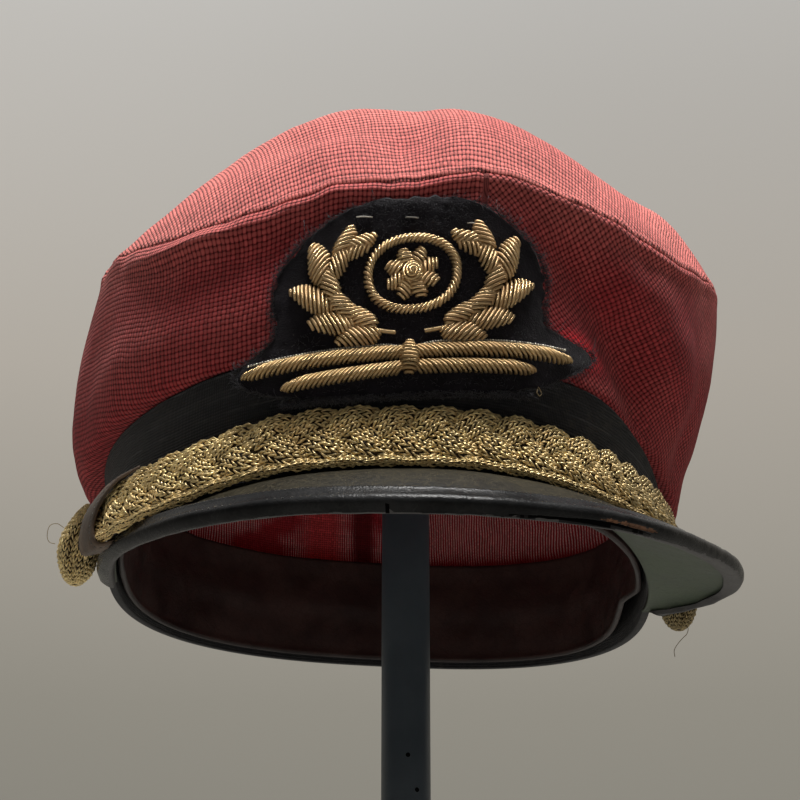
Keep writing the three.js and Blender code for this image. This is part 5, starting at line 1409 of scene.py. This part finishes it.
# ---------------------------------------------------------------- loose threads
HAIR_LEFT = [(-96.6, -20.3, 8.6), (-98.6, -20.5, 9.6), (-100.7, -20.3, 8.9), (-101.2, -20.3, 6.0), (-100.4, -20.3, 3.9), (-98.6, -20.3, 3.4)]
HAIR_RIGHT = [(95.6, 3.2, -5.0), (96.3, 1.7, -6.7), (95.9, 1.7, -8.6), (94.3, 1.7, -10.3), (92.7, 1.7, -12.3), (91.8, 1.7, -14.2), (92.0, 1.7, -16.1)]
POLE_HOLES = [(0.8, 160.75), (22.1, 150.8)]


def curl(points, n=24):
    p = np.asarray(points, float)
    t = np.linspace(0, len(p) - 1, n)
    return np.stack([column(np.arange(len(p)), p[:, i], t) for i in range(3)], -1)


def thread(name, points, radius, look, slot_name, node):
    part = Part()
    tubes(part, curl(points)[None], radius, None, 5, 1, 0)
    part.make(name, look, [node])


thread("knob_hair_left", HAIR_LEFT, 0.10, GOLD_THREAD, "gold_braid", "braid_knob_left")
thread("knob_hair_right", HAIR_RIGHT, 0.11, GOLD_THREAD, "gold_braid", "braid_knob_right")
thread("patch_loop", patch_point(np.array([34.6, 35.3, 35.6, 35.0, 34.4, 34.7]), np.array([25.6, 24.2, 22.7, 21.9, 22.8, 24.0]), np.array([1.4, 1.9, 2.2, 2.3, 2.2, 2.0])), 0.14, GOLD_THREAD, "black_felt", "badge_patch")

# ---------------------------------------------------------------- stand
part = Part()
lathe(part, [(0, 0), (20, 0), (80, 0), (83.4, 0.25), (84.6, 0.9), (85, 2.0), (85, 5.8), (84.7, 6.9), (83.9, 7.6), (82.8, 7.95), (60, 8.0), (30, 8.0), (12, 8.0), (0, 8.0)], 128, 0, 500.0)
part.make("stand_base_plate", PAINT, ["stand_base"], "part")
part = Part()
z = np.concatenate([[8.3], np.linspace(8.6, 341.7, 60), [342.0]])
prof = [(0, 8.3)] + [(7.25 - (0.3 if i in (0, len(z) - 1) else 0), zz) for i, zz in enumerate(z)] + [(0, 342.0)]
lathe(part, prof, 72, 0, 45.0)
# two small blind holes in its face, each a worn ring round a disc painted dark as the shade inside the hole
for side_deg, zz in POLE_HOLES:
    a = math.radians(side_deg)
    n = np.array([math.sin(a), -math.cos(a), 0.0])
    e = np.array([math.cos(a), math.sin(a), 0.0])
    w = np.linspace(0, TAU, 20, endpoint=False)
    mid = n * 7.24 + np.array([0, 0, zz])
    ring = [mid + r * (np.cos(w)[:, None] * e + np.sin(w)[:, None] * np.array([0, 0, 1.0])) + n * d for r, d in ((0.95, -0.07), (0.82, 0.05), (0.68, 0.04))]
    vv = np.concatenate(ring + [mid[None] + n * 0.02])
    i = np.arange(20)
    j = (i + 1) % 20
    part.add(vv, np.concatenate([np.stack([k * 20 + i, k * 20 + j, k * 20 + 20 + j, k * 20 + 20 + i], -1) for k in (0, 1)]), None, 0)
    base = part.n - len(vv)
    part.f.append(np.stack([40 + i, 40 + j, np.full(20, 60)], -1) + base)
    part.uv.append(np.zeros((60, 2)))
    part.m.append(np.ones(20, int))
pole = part.make("stand_pole_tube", [PAINT, SLIT_SHADE], ["stand_pole"], "part")
part = Part()
foot = 342.3
lathe(part, [(0, foot), (10, foot), (18, foot), (27, foot + 1), (33, foot + 3), (35.4, foot + 5), (36, foot + 6.4), (35.3, foot + 8), (33.8, foot + 9.2), (30.5, foot + 11.8), (27, foot + 14), (22.5, foot + 16), (18, foot + 17.5), (13, foot + 18.6), (9, foot + 19.3), (4, foot + 19.85), (0, foot + 20)], 96, 0, 200.0)
part.make("stand_pad_top", PAINT, ["stand_pad"], "part")

# ---------------------------------------------------------------- stage, light and camera
prof = [(0.0, 0.0), (0.6, 0.0), (1.4, 0.0), (1.9, 0.0)]
for a in np.linspace(0, math.pi / 2, 14)[1:]:
    prof.append((1.9 + 0.7 * math.sin(a), 0.7 - 0.7 * math.cos(a)))
prof += [(2.6, 1.4), (2.6, 2.4), (2.6, 3.4)]
segs = 96
verts, faces = [(0, 0, 0)], []
for r, z in prof[1:]:
    for i in range(segs):
        a = TAU * i / segs
        verts.append((r * math.cos(a), r * math.sin(a), z))
for i in range(segs):
    faces.append((0, 1 + i, 1 + (i + 1) % segs))
for k in range(len(prof) - 2):
    for i in range(segs):
        a, b = 1 + k * segs + i, 1 + k * segs + (i + 1) % segs
        faces.append((a, a + segs, b + segs, b))
me = bpy.data.meshes.new("stage_bowl")
me.from_pydata(verts, [], faces)
me.polygons.foreach_set("use_smooth", np.ones(len(me.polygons), bool))
stage = bpy.data.objects.new("stage_bowl", me)
bpy.context.scene.collection.objects.link(stage)
# the rear half of the bowl glows, brighter higher up and slightly brighter to one side: painted light standing in for a
# lit backdrop, which also lights the cap
k = Look("stage_paper_glowing", Roughness=0.95, Specular_IOR_Level=0.1, Emission_Strength=1.0)
x, y, z = k.split(k.node("ShaderNodeTexCoord").outputs["Object"])
rear = k.range(y, 0.2, 1.3)
glow = k.ramp(k.math("MULTIPLY", z, 0.4), (0.15, (0.136, 0.129, 0.109)), (0.28, (0.190, 0.178, 0.150)), (0.52, (0.345, 0.316, 0.278)), (0.84, (0.455, 0.443, 0.422)))
k.set(Base_Color=k.blend(rear, k.ramp(z, (0.02, (0.30, 0.29, 0.27)), (0.3, (0.06, 0.058, 0.055))), (0.2, 0.195, 0.18)))
sideways = k.math("SUBTRACT", 1.0, k.math("MULTIPLY", k.range(x, -0.7, 0.7, -0.065, 0.065), k.range(z, 0.4, 1.8, -0.45, 1.0)))
glow = k.blend(1.0, glow, k.join(sideways, sideways, sideways), "MULTIPLY")
k.set(Emission_Color=k.blend(rear, (0.0, 0.0, 0.0), glow))
me.materials.append(k.m)

world = bpy.data.worlds.new("soft_room")
bpy.context.scene.world = world
world.use_nodes = True
world.node_tree.nodes["Background"].inputs[0].default_value = (1.0, 0.99, 0.97, 1)
world.node_tree.nodes["Background"].inputs[1].default_value = 0.55


def area(name, at, aim, size, watts, colour=(1, 1, 1)):
    data = bpy.data.lights.new(name, "AREA")
    data.shape, data.size, data.energy, data.color = "DISK", size, watts, colour
    ob = bpy.data.objects.new(name, data)
    ob.location = at
    ob.rotation_mode = "QUATERNION"
    ob.rotation_quaternion = (Vector(aim) - Vector(at)).to_track_quat("-Z", "Y")
    bpy.context.scene.collection.objects.link(ob)


area("key_above", (0.10, -0.13, 1.66), (0.0, 0.0, 0.33), 0.6, 37.5, (1.0, 0.985, 0.96))

cam = bpy.data.objects.new("photo_camera", bpy.data.cameras.new("photo_camera"))
bpy.context.scene.collection.objects.link(cam)
cam.data.sensor_width, cam.data.lens = 36.0, 83.97
cam.data.clip_start, cam.data.clip_end = 0.02, 30
cam.location = (-0.04007, -0.54830, 0.06571)
cam.rotation_mode = "QUATERNION"
cam.rotation_quaternion = Vector((0.06526, 0.93316, 0.35347)).to_track_quat("-Z", "Y")
bpy.context.scene.camera = cam
bpy.context.scene.view_settings.view_transform = "Standard"
